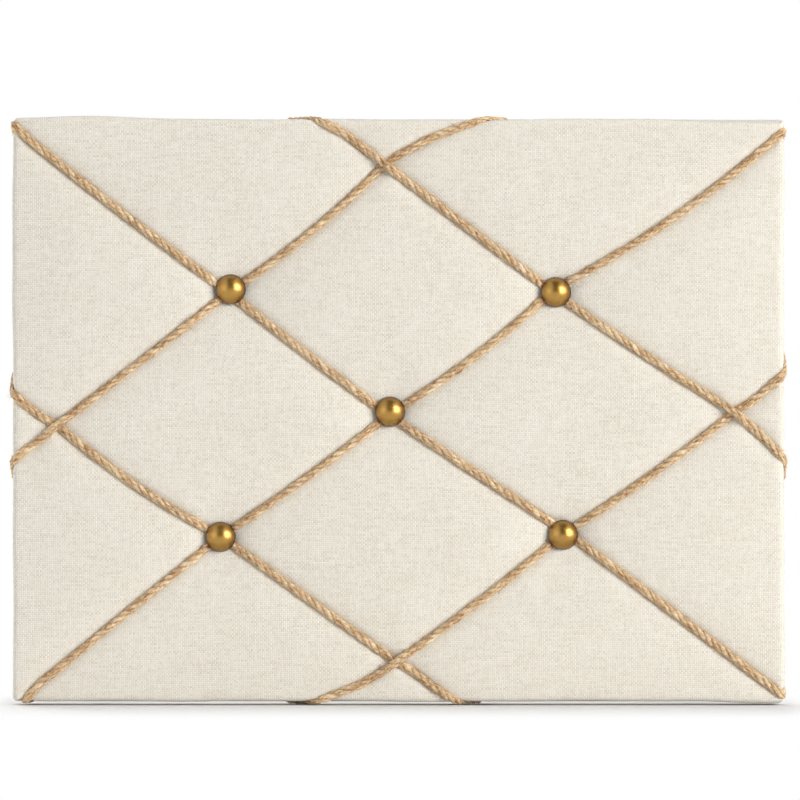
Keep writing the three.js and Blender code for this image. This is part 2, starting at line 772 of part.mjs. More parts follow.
function coverStaples() {
  const rows = [
    ["top", COVER_STAPLES_LONG],
    ["bottom", COVER_STAPLES_LONG],
    ["left", COVER_STAPLES_SHORT],
    ["right", COVER_STAPLES_SHORT],
  ];
  return rows.flatMap(([name, row]) => row.map((along, i) => {
    const side = sides[name];
    const edge = { x: Math.abs(side.z), z: Math.abs(side.x) };
    const made = staple(onSide(name, along, COVER_STAPLE_IN), edge, BACK - FIT);
    return { name: "cover_staple_" + name + "_" + (i + 1), ...made };
  }));
}

function twineStaples() {
  return Object.entries(ends).map(([name, end]) => {
    const anchor = onSide(end.side, end.anchor, ANCHOR_IN);
    const turn = onSide(end.side, end.turn, BACK_R);
    const across = { x: -(anchor.z - turn.z), z: anchor.x - turn.x };
    const crown = -CORE_T - FIT - 2 * TWINE_R * SQUASH_STAPLE - FIT;
    return { name: "twine_staple_" + name, ...staple(anchor, across, crown) };
  });
}

// Hangers

const STRAP_BEND = RING_WIRE_R + RING_RUN + STRAP_T / 2; // middle of the strap round the ring's bar
const STRAP_BAR = STRAP_BEND + STRAP_T / 2; // the bar's middle over the strap's seat
const HANGER_SEAT = -(CORE_FRONT - CORE_T) + FIT; // where the strap lies, in y
const STRAP_TOP = 2 * STRAP_T + STRAP_LEAF_GAP; // outer face of the folded strap over its seat

// The folded strap's section as a line offset to both sides; u runs up the board, v to the wall.
function strapOutline() {
  const line = [new THREE.Vector2(-STRAP_L, STRAP_T / 2)];
  for (let degrees = -90; degrees <= 135; degrees += 22.5) {
    const angle = THREE.MathUtils.degToRad(degrees);
    line.push(new THREE.Vector2(STRAP_BEND * Math.cos(angle), STRAP_BAR + STRAP_BEND * Math.sin(angle)));
  }
  const end = line[line.length - 1];
  const leaf = STRAP_TOP - STRAP_T / 2;
  line.push(new THREE.Vector2(end.x - (end.y - leaf), leaf));
  line.push(new THREE.Vector2(-STRAP_L, leaf));
  const offset = (side) => line.map((p, i) => {
    const back = p.clone().sub(line[Math.max(i - 1, 0)]).normalize();
    const ahead = line[Math.min(i + 1, line.length - 1)].clone().sub(p).normalize();
    const way = back.clone().add(ahead).normalize();
    const widen = i === 0 || i === line.length - 1 ? 1 : 1 / way.dot(ahead);
    return new THREE.Vector2(-way.y, way.x).multiplyScalar((side * STRAP_T * widen) / 2).add(p);
  });
  return [...offset(1), ...offset(-1).reverse()];
}

// Turns a piece drawn with u up the board and v to the wall, and sets it on the bar's place.
function onHanger(geometry, x) {
  const up = new THREE.Vector3(0, 0, 1);
  const back = new THREE.Vector3(0, 1, 0);
  const pose = new THREE.Matrix4().makeBasis(up, back, up.clone().cross(back));
  pose.setPosition(x, HANGER_SEAT, HALF_H - HANGER_DOWN);
  return geometry.applyMatrix4(pose);
}

function strapGeometry(x) {
  const shape = new THREE.Shape(strapOutline());
  const strap = new THREE.ExtrudeGeometry(shape, { depth: STRAP_W, bevelEnabled: false });
  strap.translate(0, 0, -STRAP_W / 2);
  const hole = new THREE.CylinderGeometry(SCREW_R + FIT, SCREW_R + FIT, 4 * STRAP_T, SCREW_SIDES);
  hole.translate(-SCREW_DOWN, STRAP_T, 0);
  return geometryOf(solidOf(onHanger(strap, x)).subtract(solidOf(onHanger(hole, x))));
}

// The D as a loop of wire: the bar in the strap, two legs and an arch, hanging down.
function ringGeometry(x) {
  const half = RING_IN_W / 2 + RING_WIRE_R;
  const arch = RING_IN_H + 2 * RING_WIRE_R - RING_LEG;
  const line = [];
  const turn = (cx, cv, rx, rv, first, last, count) => {
    for (let i = 0; i <= count; i++) {
      const angle = THREE.MathUtils.degToRad(first + ((last - first) * i) / count);
      line.push([cx + rx * Math.cos(angle), cv + rv * Math.sin(angle)]);
    }
  };
  turn(half - RING_CORNER, RING_CORNER, RING_CORNER, RING_CORNER, -90, 0, 3);
  turn(0, RING_LEG, half, arch, 0, 180, 12);
  turn(-half + RING_CORNER, RING_CORNER, RING_CORNER, RING_CORNER, 180, 270, 3);
  const lean = THREE.MathUtils.degToRad(RING_REST);
  const normal = new THREE.Vector3(0, Math.cos(lean), Math.sin(lean));
  const bar = new THREE.Vector3(x, HANGER_SEAT + STRAP_BAR, HALF_H - HANGER_DOWN);
  const down = new THREE.Vector3(0, Math.sin(lean), -Math.cos(lean));
  const rings = line.map(([across, v]) => ({
    middle: bar.clone().addScaledVector(down, v).add(new THREE.Vector3(across, 0, 0)),
    normal,
    high: RING_WIRE_R,
    wide: RING_WIRE_R,
  }));
  return tube(rings, true);
}

// A round-headed screw with a cross slot, drawn with its height from the strap's outer face to the wall.
function screwGeometry(x) {
  const under = -(STRAP_TOP + FIT + SCREW_DEPTH);
  const head = FIT / 2;
  const profile = [
    [0, under],
    [SCREW_R, under + SCREW_R],
    [SCREW_R, head],
    [SCREW_HEAD_R, head],
    [SCREW_HEAD_R, head + SCREW_HEAD_H * 0.35],
    [SCREW_HEAD_R * 0.75, head + SCREW_HEAD_H * 0.8],
    [SCREW_HEAD_R * 0.4, head + SCREW_HEAD_H],
    [0, head + SCREW_HEAD_H],
  ];
  const points = profile.map(([r, v]) => new THREE.Vector2(r, v));
  const body = new THREE.LatheGeometry(points, SCREW_SIDES);
  body.translate(-SCREW_DOWN, STRAP_TOP, 0);
  let screw = solidOf(onHanger(body, x));
  for (const [u, w] of [[SCREW_SLOT_L, SCREW_SLOT_W], [SCREW_SLOT_W, SCREW_SLOT_L]]) {
    const slot = new THREE.BoxGeometry(u, 2 * SCREW_SLOT_DEPTH, w);
    slot.translate(-SCREW_DOWN, STRAP_TOP + head + SCREW_HEAD_H, 0);
    screw = screw.subtract(solidOf(onHanger(slot, x)));
  }
  return geometryOf(screw);
}

function bumperGeometry(x, z) {
  const wall = -CORE_FRONT;
  const seat = wall + BUMPER_H;
  const profile = [
    [0, wall],
    [BUMPER_R - BUMPER_CHAMFER, wall],
    [BUMPER_R, wall + BUMPER_CHAMFER],
    [BUMPER_R, seat],
    [0, seat],
  ];
  return turned(profile, BUMPER_SIDES, x, z);
}

// Assembly

const staplesOfCover = coverStaples();
const staplesOfTwine = twineStaples();
const hangers = { left: -HANGER_X, right: HANGER_X };

let cover = coverSolid();
let pad = padSolid();
let core = coreSolid();
for (const { x, z } of Object.values(nails)) {
  cover = cover.subtract(drill(x, z, NAIL_SHANK_R + FIT, 0, PAD_TWINE));
  pad = pad.subtract(drill(x, z, NAIL_SHANK_R + FIT, 0, PAD_TWINE));
  core = core.subtract(drill(x, z, NAIL_SHANK_R + FIT, -NAIL_DEPTH - FIT, FIT));
}
for (const leg of staplesOfCover.flatMap((s) => s.holes)) {
  cover = cover.subtract(leg);
  core = core.subtract(leg);
}
for (const leg of staplesOfTwine.flatMap((s) => s.holes)) core = core.subtract(leg);
for (const x of Object.values(hangers)) {
  const z = HALF_H - HANGER_DOWN - SCREW_DOWN;
  core = core.subtract(drill(x, z, SCREW_R + FIT, -CORE_T - FIT, -CORE_T + SCREW_DEPTH + FIT));
}

addPiece("core_board", geometryOf(core), FIBREBOARD);
addPiece("foam_pad", geometryOf(pad), WADDING);
addPiece("fabric_cover", geometryOf(cover), LINEN);

for (const [name, twine] of Object.entries(twines)) {
  let solid = twineSolid(twine);
  for (const place of twine.route.filter((p) => p in nails)) {
    const { x, z } = nails[place];
    solid = solid.subtract(drill(x, z, NAIL_SHANK_R + FIT, 0, knotTops[place] + TWINE_D));
  }
  addPiece("twine_" + name, geometryOf(solid), JUTE);
}

Object.keys(nails).forEach((name, i) => addPiece("nail_" + (i + 1), nailGeometry(name), BRASS));
for (const made of [...staplesOfCover, ...staplesOfTwine]) addPiece(made.name, made.wire, STEEL);

for (const [name, x] of Object.entries(hangers)) {
  addPiece("hanger_strap_" + name, strapGeometry(x), STEEL);
  addPiece("hanger_screw_" + name, screwGeometry(x), STEEL);
  addPiece("d_ring_" + name, ringGeometry(x), STEEL);
}

for (const [name, sx, sz] of [
  ["top_left", -1, 1],
  ["top_right", 1, 1],
  ["bottom_left", -1, -1],
  ["bottom_right", 1, -1],
]) {
  const x = sx * (HALF_W - BUMPER_SIDE_IN);
  const z = sz * (HALF_H - BUMPER_END_IN);
  addPiece("bumper_" + name, bumperGeometry(x, z), RUBBER);
}

export default board;
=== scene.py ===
import math

import bmesh
import bpy
import numpy as np
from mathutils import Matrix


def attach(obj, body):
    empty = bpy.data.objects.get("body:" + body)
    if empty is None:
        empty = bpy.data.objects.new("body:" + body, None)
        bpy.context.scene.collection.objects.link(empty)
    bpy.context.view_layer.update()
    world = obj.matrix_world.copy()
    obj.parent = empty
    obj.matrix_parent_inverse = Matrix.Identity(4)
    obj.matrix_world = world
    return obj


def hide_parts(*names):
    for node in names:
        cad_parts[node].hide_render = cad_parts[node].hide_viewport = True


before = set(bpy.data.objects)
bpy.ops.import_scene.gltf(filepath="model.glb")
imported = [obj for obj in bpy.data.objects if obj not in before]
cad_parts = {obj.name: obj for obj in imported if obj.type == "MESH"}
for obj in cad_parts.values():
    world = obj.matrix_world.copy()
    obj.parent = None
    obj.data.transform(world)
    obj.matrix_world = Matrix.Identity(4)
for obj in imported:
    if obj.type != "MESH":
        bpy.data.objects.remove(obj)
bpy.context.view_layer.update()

MM = 0.001
QUARTER = math.pi / 2
FAR = 1e6  # stands for no limit
rng = np.random.default_rng(12)

# Sizes that the solid model has too
HALF_W, HALF_H = 203.2, 153.3
CORE_FRONT, CORE_T = 16.4, 9.0
COVER_T, MARGIN = 0.8, 28.0
BACK, BACK_R = -10.1, 1.2
SIDE_FOOT = BACK + BACK_R
RIM_IN = 9.0
PAD_TWINE, PAD_CROSS, PAD_NAIL, DIMPLE = 10.0, 8.0, 3.6, 12.0
TWINE_R, SPREAD = 2.4, 0.4
SQUASH = {"nail": 0.42, "crossing": 0.8, "rim": 0.88}
SQUASH_REACH, SQUASH_EDGE, SQUASH_BACK, SQUASH_STAPLE = 12.0, 0.6, 0.85, 0.65
PLATEAU, RAMP = 4.0, 0.35
ANCHOR_IN, TAIL = 37.0, 9.0
NAIL_PRESS, NAIL_DOME, NAIL_WALL, NAIL_RIM = 7.65, 5.5, 0.7, 9.55
NAIL_SHANK_R, NAIL_DEPTH, NAIL_TIP = 1.0, 7.0, 2.5
STAPLE_CROWN, STAPLE_WIRE, STAPLE_WIDTH, STAPLE_DEPTH = 10.4, 0.7, 1.1, 6.0
COVER_STAPLE_IN = 17.0
COVER_STAPLES = {
    **{side: [-120, -35, 35, 120] for side in ("top", "bottom")},
    **{side: [-85, 0, 85] for side in ("left", "right")},
}
HANGER_X, HANGER_Z, HANGER_SEAT = 110.0, 83.3, -7.1
STRAP_W, STRAP_T, STRAP_L, STRAP_GAP = 10.0, 1.0, 26.0, 0.15
RING_WIRE_R, RING_RUN = 1.2, 0.25
RING_IN_W, RING_IN_H, RING_CORNER, RING_LEG, RING_REST = 15.0, 11.0, 2.2, 4.5, 6.0
SCREW_DOWN, SCREW_HEAD_R, SCREW_HEAD_H, SCREW_R, SCREW_LONG = 20.0, 3.2, 2.0, 1.5, 8.0
BUMPER_R, BUMPER_H = 6.0, 6.0
BUMPER_X, BUMPER_Z = HALF_W - 48, HALF_H - 14
FIT = 0.3

# Sizes of the fine surface alone
CROWN = 13.2  # free height of the padded face
NAIL_R = 7.95  # dome of a nail, a little wider than what it presses flat
NAIL_SEAT, PUFF = 9.6, 13.0  # height of the cloth at a nail's rim, and the distance in which it climbs
CROSS_DROP = 1.2  # how far a crossing draws the cloth down
EDGE_L, EDGE_POWER = 6.5, 6.0  # width of the rounded front edge, and how tight it turns
EDGE_DROP, EDGE_REACH = 1.0, 14.0  # how far the face falls towards its edge, and over what distance
CLOTH_REACH = 2.4  # distance in which the cloth climbs back from what presses it
HUG, HUG_CELLS = 0.86, 4  # width of the groove against the twine's, and its reach in grid steps
GRID, SETTLE_ROUNDS = 1.0, 400  # step of the grid on which the cloth settles, and how long it does
SWELL_EVERY = 4  # grid steps between the points of the simulated sheet
SWELL_PRESSURE, SWELL_FRAMES, SWELL_CAP = 4.0, 20, 0.8
LATTICE_IN, LATTICE_FINE = 12.0, 6.0  # the front is a lattice up to here, finer at its ends
EDGE_LOOPS = 11  # loops from the lattice to the side
CORNER_R = 2.6
DENT_R = 3.4
SIDE_BULGE = 0.45
SINK, CORNER_SINK = 0.7, 1.3  # how deep a twine sinks into the padded edge
SIDE_SHARE = 0.72  # part of a twine end's way along the side that it makes before the back edge
# Slow swell of an edge: place along it and how far out
EDGE_WAVES = {
    "top": [(-203, 1.2), (-170, 1.7), (-95, 0.3), (0, -0.3), (125, 0.3), (180, -1.3), (203, -1.5)],
    "bottom": [(-203, 0.2), (0, -0.1), (150, 0.0), (190, 1.0), (203, 1.1)],
}
EDGE_PHASES = {"bottom": 0.4, "right": 1.3, "top": 2.6, "left": 4.1}
LAP, LAP_WIDTH, LAP_CREASE = 0.75, 9.0, 0.6  # the folded cloth at the back's corners
STAPLE_DIMPLE, STAPLE_DIMPLE_R = 0.22, 6.0
LINE_STEP = 0.5  # samples of a twine's middle line
TWINE_STEP = 1.0
TWINE_GAP = 0.1  # clearance of the twine ends on the back
EDGE_STEPS = 15  # samples of a twine end from the rim over the front edge
TWINE_LEAD = 17.0  # length of one turn of its three strands
YARN = 0.875  # the twine's firm core against the size of its solid
STRAND_OFF, STRAND_R = 0.39, 0.62  # a strand's distance from the middle and radius, as shares of the twine's
STRAND_SIDES = 9
HAIRS, HAIR_STEPS = 6.0, 3  # loose fibres per millimetre of twine, and the samples of each
FRINGE, FRINGE_R = 620, 0.11  # loose threads of the margin's cut edge
WARP_PITCH, WEFT_PITCH = 1.0, 1.07  # pitch of the cloth's threads
STAPLE_BEND, STAPLE_ROUND = 0.8, 0.2
STRAP_ROUND = 0.18
BUMPER_ROUND, BUMPER_FLANGE = 1.6, 0.25

# Studio
FLOOR_NEAR, FLOOR_FAR = 10.0, 150.0  # the floor fades to plain white between these distances from the board
FLOOR_SIDE = 5.0  # how much faster it fades beside the board
FLOOR_DROP = 1.9  # from the board's lower side to the floor: the twines' height there
SOFT_COLOUR, SOFT_LEVEL = (0.93, 0.96, 1.0, 1), 0.21
# Dim band from the camera up and overhead, a painted dark reflection that only mirror rays see: axis of a
# ray, where the band fades in and where it is full
DIM_BAND = [(0, 0.5, 0.2), (1, 0.5, 0.1), (2, -0.1, 0.15)]
DIM = 0.8
# Lamps, in metres: place, size, power and colour
LAMPS = {
    "key": ((2.93, -2.73, 0.9), (2.0, 3.4), 166, (1.0, 0.985, 0.95)),
    "side": ((3.6, -1.3, 0.6), (1.2, 2.4), 28, (1.0, 0.985, 0.95)),
    "fill": ((-1.3, -1.1, 0.3), (0.9, 0.9), 1.5, (0.95, 0.98, 1.0)),
    "back": ((-1.7, 3.2, 0.5), (1.8, 2.0), 110, (1.0, 0.99, 0.97)),
    "left_side": ((-2.0, 0.06, 0.1), (0.2, 1.2), 16, (1, 1, 1)),
    "upper_side": ((0, 0.1, 1.5), (1.6, 0.3), 6.4, (1, 1, 1)),
    "floor_light": ((0, 0, 1.6), (2.4, 2.4), 13, (1, 1, 1)),
}

# Each side: its way out in X and Z, and its distance from the middle
SIDES = {"left": (-1, 0, HALF_W), "right": (1, 0, HALF_W), "top": (0, 1, HALF_H), "bottom": (0, -1, HALF_H)}
NAILS = {
    "n1": (-88.3, 63.7), "n2": (82.9, 62.1), "n3": (-4.4, -0.7), "n4": (-93.6, -66.6), "n5": (86.6, -65.6),
}
CROSSINGS = {"top": (-7.1, 129.1), "left": (-180.2, -8.3), "right": (178.1, -0.4), "bottom": (-1.3, -131.0)}
# Twine ends: side, then places along it: at the rim, over the front edge, at the back edge and at the staple
ENDS = {
    "a1": ("left", 142.2, HALF_H - 2.2, HALF_H - 7, HALF_H - 37),
    "a2": ("right", -144.1, -HALF_H + 3.2, -HALF_H + 7, -HALF_H + 37),
    "b1": ("right", 139.7, HALF_H - 6.2, HALF_H - 9, HALF_H - 37),
    "b2": ("bottom", -189.4, -HALF_W + 6.4, -HALF_W + 9, -HALF_W + 37),
    "c1": ("top", -26.4, -42.5, -58, -80),
    "c2": ("right", -16.4, -25.1, -36, -52),
    "d1": ("top", 19.3, 44.0, 57, 78),
    "d2": ("left", -19.2, -26.2, -35, -50),
    "e1": ("left", 1.6, 8.5, 19, 34),
    "e2": ("bottom", 16.8, 30.0, 44, 64),
    "f1": ("right", 11.8, 18.9, 30, 46),
    "f2": ("bottom", -20.2, -42.6, -59, -79),
}
# Twines: what each passes, and where it lies over the other twine
TWINES = {
    "a": (["a1", "n1", "n3", "n5", "a2"], ["n3"]),
    "b": (["b1", "n2", "n3", "n4", "b2"], []),
    "c": (["c1", "top", "n2", "right", "c2"], ["top", "n2", "right"]),
    "d": (["d1", "top", "n1", "left", "d2"], ["n1", "left"]),
    "e": (["e1", "left", "n4", "bottom", "e2"], ["n4"]),
    "f": (["f1", "right", "n5", "bottom", "f2"], ["n5", "bottom"]),
}
# How the hand-laid twines leave straight lines: how far up each passes its knots, and how far up its runs bow
LAID = {
    "a": ((-2.0, -2.0, 2.1), (-0.8, -0.7, -0.1, 0.3)),
    "b": ((2.1, -0.8, 0.2), (-4.1, -3.0, -1.4, 0.1)),
    "c": ((0.4, -0.8, -1.1), (-0.1, -0.3, -0.9, 0.0)),
    "d": ((0.5, -0.5, -0.1), (0.6, -3.0, -0.3, -0.4)),
    "e": ((0.9, 0.3, -1.1), (-0.8, -3.0, 0.0, 0.7)),
    "f": ((0.4, 0.4, -1.1), (-0.8, -1.5, -1.2, -0.3)),
}


# Shader graphs


def srgb(r, g, b):
    """An sRGB colour, 0 to 255, as the linear colour that shaders take."""
    parts = (r / 255, g / 255, b / 255)
    return (*(c / 12.92 if c <= 0.04045 else ((c + 0.055) / 1.055) ** 2.4 for c in parts), 1.0)


class Graph:
    """A node tree with short calls for what the finishes and the studio use."""

    def __init__(self, tree):
        self.tree = tree

    def put(self, node, inputs):
        for key, value in inputs.items():
            if isinstance(value, bpy.types.NodeSocket):
                self.tree.links.new(value, node.inputs[key])
            else:
                node.inputs[key].default_value = value

    def node(self, kind, inputs=None, **settings):
        made = self.tree.nodes.new("ShaderNode" + kind)
        for key, value in settings.items():
            setattr(made, key, value)
        self.put(made, inputs or {})
        return made

    def add(self, kind, inputs=None, **settings):
        return self.node(kind, inputs, **settings).outputs

    def math(self, operation, a, b=0.0, c=0.5):
        return self.add("Math", {0: a, 1: b, 2: c}, operation=operation)[0]

    def times(self, a, b):
        return self.math("MULTIPLY", a, b)

    def sum_of(self, a, factor, b):
        """a times a factor, plus b."""
        return self.math("MULTIPLY_ADD", a, factor, b)

    def vector(self, x, y, z=0.0):
        return self.add("CombineXYZ", {0: x, 1: y, 2: z})[0]

    def split(self, vector):
        return self.add("SeparateXYZ", {0: vector})

    def scaled(self, vector, by):
        return self.add("VectorMath", {0: vector, 1: by}, operation="MULTIPLY")[0]

    def attribute(self, name, output="Vector"):
        return self.add("Attribute", attribute_name=name)[output]

    def place(self):
        """Position in millimetres."""
        return self.scaled(self.add("TexCoord")["Object"], (1000, 1000, 1000))

    def noise(self, vector, scale, detail=2.0, roughness=0.5):
        """Noise at one scale, or at one for each axis."""
        if isinstance(scale, tuple):
            vector, scale = self.scaled(vector, scale), 1.0
        inputs = {"Vector": vector, "Scale": scale, "Detail": detail, "Roughness": roughness}
        return self.add("TexNoise", inputs)[0]

    def span(self, value, low, high, first=0.0, last=1.0, **settings):
        """A value mapped from one range to another, and held at its ends."""
        return self.add("MapRange", {0: value, 1: low, 2: high, 3: first, 4: last}, **settings)[0]

    def mix(self, factor, a, b):
        return self.add("Mix", {0: factor, 6: a, 7: b}, data_type="RGBA")[2]

    def ramp(self, factor, *stops):
        """Colours between stops, each a place and an sRGB colour."""
        made = self.node("ValToRGB", {0: factor})
        elements = made.color_ramp.elements
        while len(elements) < len(stops):
            elements.new(1.0)
        for element, (place, *colour) in zip(elements, stops):
            element.position = place
            element.color = srgb(*colour)
        return made.outputs[0]

    def rays(self):
        """Whether a ray is a mirror's, and whether it is a mirror's or the camera's."""
        path = self.add("LightPath")
        mirror = self.math("MAXIMUM", path["Is Glossy Ray"], path["Is Transmission Ray"])
        return mirror, self.math("MAXIMUM", path["Is Camera Ray"], mirror)

    def close(self, output, factor, first, second):
        """Ends the tree with a mix of two shaders."""
        mix = self.add("MixShader", {0: factor, 1: first, 2: second})[0]
        self.put(self.tree.nodes[output], {"Surface": mix})


class Finish(Graph):
    """A material's graph round its principled shader."""

    def __init__(self, name, roughness, metallic=0.0):
        self.material = bpy.data.materials.new(name)
        self.material.use_nodes = True
        super().__init__(self.material.node_tree)
        self.bsdf = self.tree.nodes["Principled BSDF"]
        self.look({"Roughness": roughness, "Metallic": metallic})

    def look(self, inputs):
        self.put(self.bsdf, inputs)

    def bump(self, height, strength, distance_mm):
        inputs = {"Height": height, "Strength": strength, "Distance": distance_mm * MM}
        self.look({"Normal": self.add("Bump", inputs)[0]})


def linen_finish():
    """Plain weave: warp and weft pass over each other by turns, each thread with its own tone, painted shade
    in the gaps between threads and painted light on the cells where the warp lies on top.
    """
    g = Finish("linen", 0.92)
    flat = g.attribute("flat")
    across, up, _ = g.split(flat)

    def counted(along, drift, pitch):
        return g.math("DIVIDE", g.math("ADD", along, g.sum_of(g.noise(flat, drift), 2.0, 0.5)), pitch)

    x, y = counted(across, (0.05, 0.012, 0), WARP_PITCH), counted(up, (0.012, 0.05, 1), WEFT_PITCH)
    ix, iy = g.math("FLOOR", x), g.math("FLOOR", y)

    def thread(side, along, index, sign):
        round_part = g.math("ABSOLUTE", g.math("SINE", g.times(side, math.pi)))
        turn = g.times(g.math("ADD", g.math("SUBTRACT", along, 0.5), index), math.pi)
        return g.times(round_part, g.sum_of(g.math("COSINE", turn), 0.325 * sign, 0.675))

    warp, weft = thread(x, y, ix, 1), thread(y, x, iy, -1)
    height = g.math("MAXIMUM", warp, weft)
    over = g.math("GREATER_THAN", warp, weft)
    warp_tone = g.noise(g.vector(g.times(ix, 1.37), g.times(y, 0.09), 3.0), 1.0, 3.0, 0.6)
    weft_tone = g.noise(g.vector(g.times(x, 0.09), g.times(iy, 1.37), 8.0), 1.0, 3.0, 0.6)
    tone = g.times(g.add("Mix", {0: over, 2: weft_tone, 3: warp_tone}, data_type="FLOAT")[0], 0.5)
    cloud = g.noise(flat, (0.02, 0.02, 0), 3.0)
    cell = g.add("TexWhiteNoise", {"Vector": g.vector(ix, iy)}, noise_dimensions="2D")["Value"]
    # cloud and cell give random tone; over gives painted light, lighter cells where the warp lies on top
    for part, amount in ((cloud, 0.1), (cell, 0.12), (over, 0.12)):
        tone = g.sum_of(part, amount, tone)
    threads = g.ramp(
        tone, (0.26, 222, 214, 199), (0.37, 237, 231, 219), (0.48, 243, 238, 228), (0.60, 250, 247, 240)
    )
    # painted shade: the gaps between the threads are darkened towards srgb(176, 162, 138)
    gap_shade = g.span(height, 0.05, 0.8, 0.38, 0.0)
    g.look({
        "Base Color": g.mix(gap_shade, threads, srgb(176, 162, 138)),
        "Specular IOR Level": 0.2,
        "Sheen Weight": 0.1,
        "Sheen Roughness": 0.6,
    })
    fuzz = g.noise(flat, (6, 6, 0), 3.0, 0.6)
    g.bump(g.sum_of(fuzz, 0.5, height), 0.6, 0.25)
    return g.material


def jute_finish():
    """Fibres along the strands, with painted shade in the crevices between the strands, and dark flecks."""
    g = Finish("jute", 0.9)
    lay = g.attribute("lay")
    fibre = g.noise(lay, (1.3, 1.3, 0.4), 5.0, 0.65)
    patch = g.noise(lay, (0.2, 0.2, 0.06), 3.0)
    fleck = g.noise(lay, (1.4, 1.4, 0.45), 2.0)
    tone = g.sum_of(g.math("SUBTRACT", patch, 0.5), 0.5, fibre)
    colour = g.ramp(
        tone, (0.32, 146, 104, 62), (0.44, 209, 171, 127), (0.54, 232, 202, 160), (0.66, 250, 232, 199)
    )
    # painted shade: the strands' inner faces, in the crevices between them, are darkened towards srgb(132,
    # 88, 46)
    crevice_shade = g.span(g.attribute("out", "Fac"), 0.62, 0.9, 0.7, 0.0)
    # dark holds the painted crevice shade and the real dark flecks
    dark = g.math("MAXIMUM", crevice_shade, g.span(fleck, 0.6, 0.72, 0.0, 0.65))
    g.look({"Base Color": g.mix(dark, colour, srgb(132, 88, 46)), "Sheen Weight": 0.2})
    g.bump(fibre, 0.7, 0.25)
    return g.material


def brass_finish():
    """Lacquered old brass, darker in stains and specks, and towards the rim, partly patina and partly painted
    shade.
    """
    g = Finish("antique_brass", 0.3, 1.0)
    place = g.place()
    stain = g.noise(place, 0.55, 5.0, 0.65)
    speck = g.noise(place, 3.5, 3.0, 0.6)
    # darker towards the rim: partly patina, partly painted shade
    stain_and_rim_shade = g.sum_of(g.math("SUBTRACT", stain, 0.5), 0.55, g.attribute("out", "Fac"))
    metal = g.ramp(stain_and_rim_shade, (0.06, 66, 42, 12), (0.24, 118, 83, 30), (0.55, 162, 120, 46), (0.90, 178, 136, 58))
    g.look({
        "Base Color": g.mix(g.span(speck, 0.62, 0.74, 0.0, 0.55), metal, srgb(84, 60, 22)),
        "Roughness": g.span(stain, 0.3, 0.7, 0.25, 0.39),
        "Coat Weight": 0.8,
        "Coat Roughness": 0.2,
    })
    g.bump(speck, 0.08, 0.12)
    return g.material


def steel_finish(name, dark, light, roughness):
    g = Finish(name, roughness, 1.0)
    place = g.place()
    spangle = g.noise(place, 0.8, 4.0, 0.6)
    scratch = g.noise(place, (0.5, 6.0, 6.0), 4.0, 0.7)
    g.look({
        "Base Color": g.ramp(spangle, (0.3, *dark), (0.7, *light)),
        "Roughness": g.span(scratch, 0.3, 0.7, roughness - 0.1, roughness + 0.12),
    })
    g.bump(scratch, 0.15, 0.05)
    return g.material


def fibreboard_finish():
    g = Finish("fibreboard", 0.85)
    place = g.place()
    fibre = g.noise(place, (0.9, 0.9, 2.4), 6.0, 0.75)
    cross = g.noise(place, (2.8, 0.9, 0.8), 5.0, 0.75)
    tone = g.times(g.math("ADD", fibre, cross), 0.5)
    g.look({"Base Color": g.ramp(tone, (0.32, 132, 98, 62), (0.5, 178, 142, 100), (0.68, 206, 174, 132))})
    g.bump(tone, 0.3, 0.2)
    return g.material


def rubber_finish():
    g = Finish("bumper_rubber", 0.75)
    place = g.place()
    dust = g.noise(place, 0.6, 5.0, 0.65)
    g.look({
        "Base Color": g.ramp(dust, (0.35, 42, 40, 39), (0.75, 84, 81, 78)),
        "Roughness": g.span(dust, 0.3, 0.7, 0.6, 0.9),
    })
    g.bump(g.noise(place, 4.0), 0.25, 0.1)
    return g.material


def wadding_finish():
    g = Finish("wadding", 1.0)
    tuft = g.noise(g.place(), 0.12, 6.0, 0.7)
    g.look({"Base Color": g.ramp(tuft, (0.3, 222, 219, 210), (0.7, 250, 249, 245))})
    g.bump(tuft, 0.6, 1.0)
    return g.material


def floor_finish():
    """A pale floor that fades to plain white, away from the board, for camera and mirror rays."""
    g = Finish("floor", 0.9)
    place = g.place()
    g.look({"Base Color": g.span(g.noise(place, 0.004), 0.3, 0.7, 0.68, 0.7)})
    x, y, _ = g.split(place)

    def beyond(value, reach):
        return g.math("MAXIMUM", g.math("SUBTRACT", g.math("ABSOLUTE", value), reach), 0.0)

    beside = g.times(beyond(x, HALF_W - FLOOR_NEAR), FLOOR_SIDE)
    before = beyond(g.math("ADD", y, CORE_FRONT), CORE_FRONT)
    away = g.add("VectorMath", {0: g.vector(beside, before)}, operation="LENGTH")["Value"]
    fade = g.span(away, FLOOR_NEAR, FLOOR_FAR, interpolation_type="SMOOTHSTEP")
    white = g.add("Emission", {"Color": (1, 1, 1, 1), "Strength": 1.0})[0]
    g.close("Material Output", g.times(g.rays()[1], fade), g.bsdf.outputs[0], white)
    return g.material


FINISHES = {
    "linen": linen_finish(),
    "jute": jute_finish(),
    "antique_brass": brass_finish(),
    "staple_steel": steel_finish("staple_steel", (160, 162, 166), (196, 198, 201), 0.32),
    "hanger_steel": steel_finish("hanger_steel", (168, 166, 158), (206, 205, 198), 0.34),
    "bumper_rubber": rubber_finish(),
    "wadding": wadding_finish(),
}


# Meshes


def show(name, data):
    made = bpy.data.objects.new(name, data)
    bpy.context.scene.collection.objects.link(made)
    return made


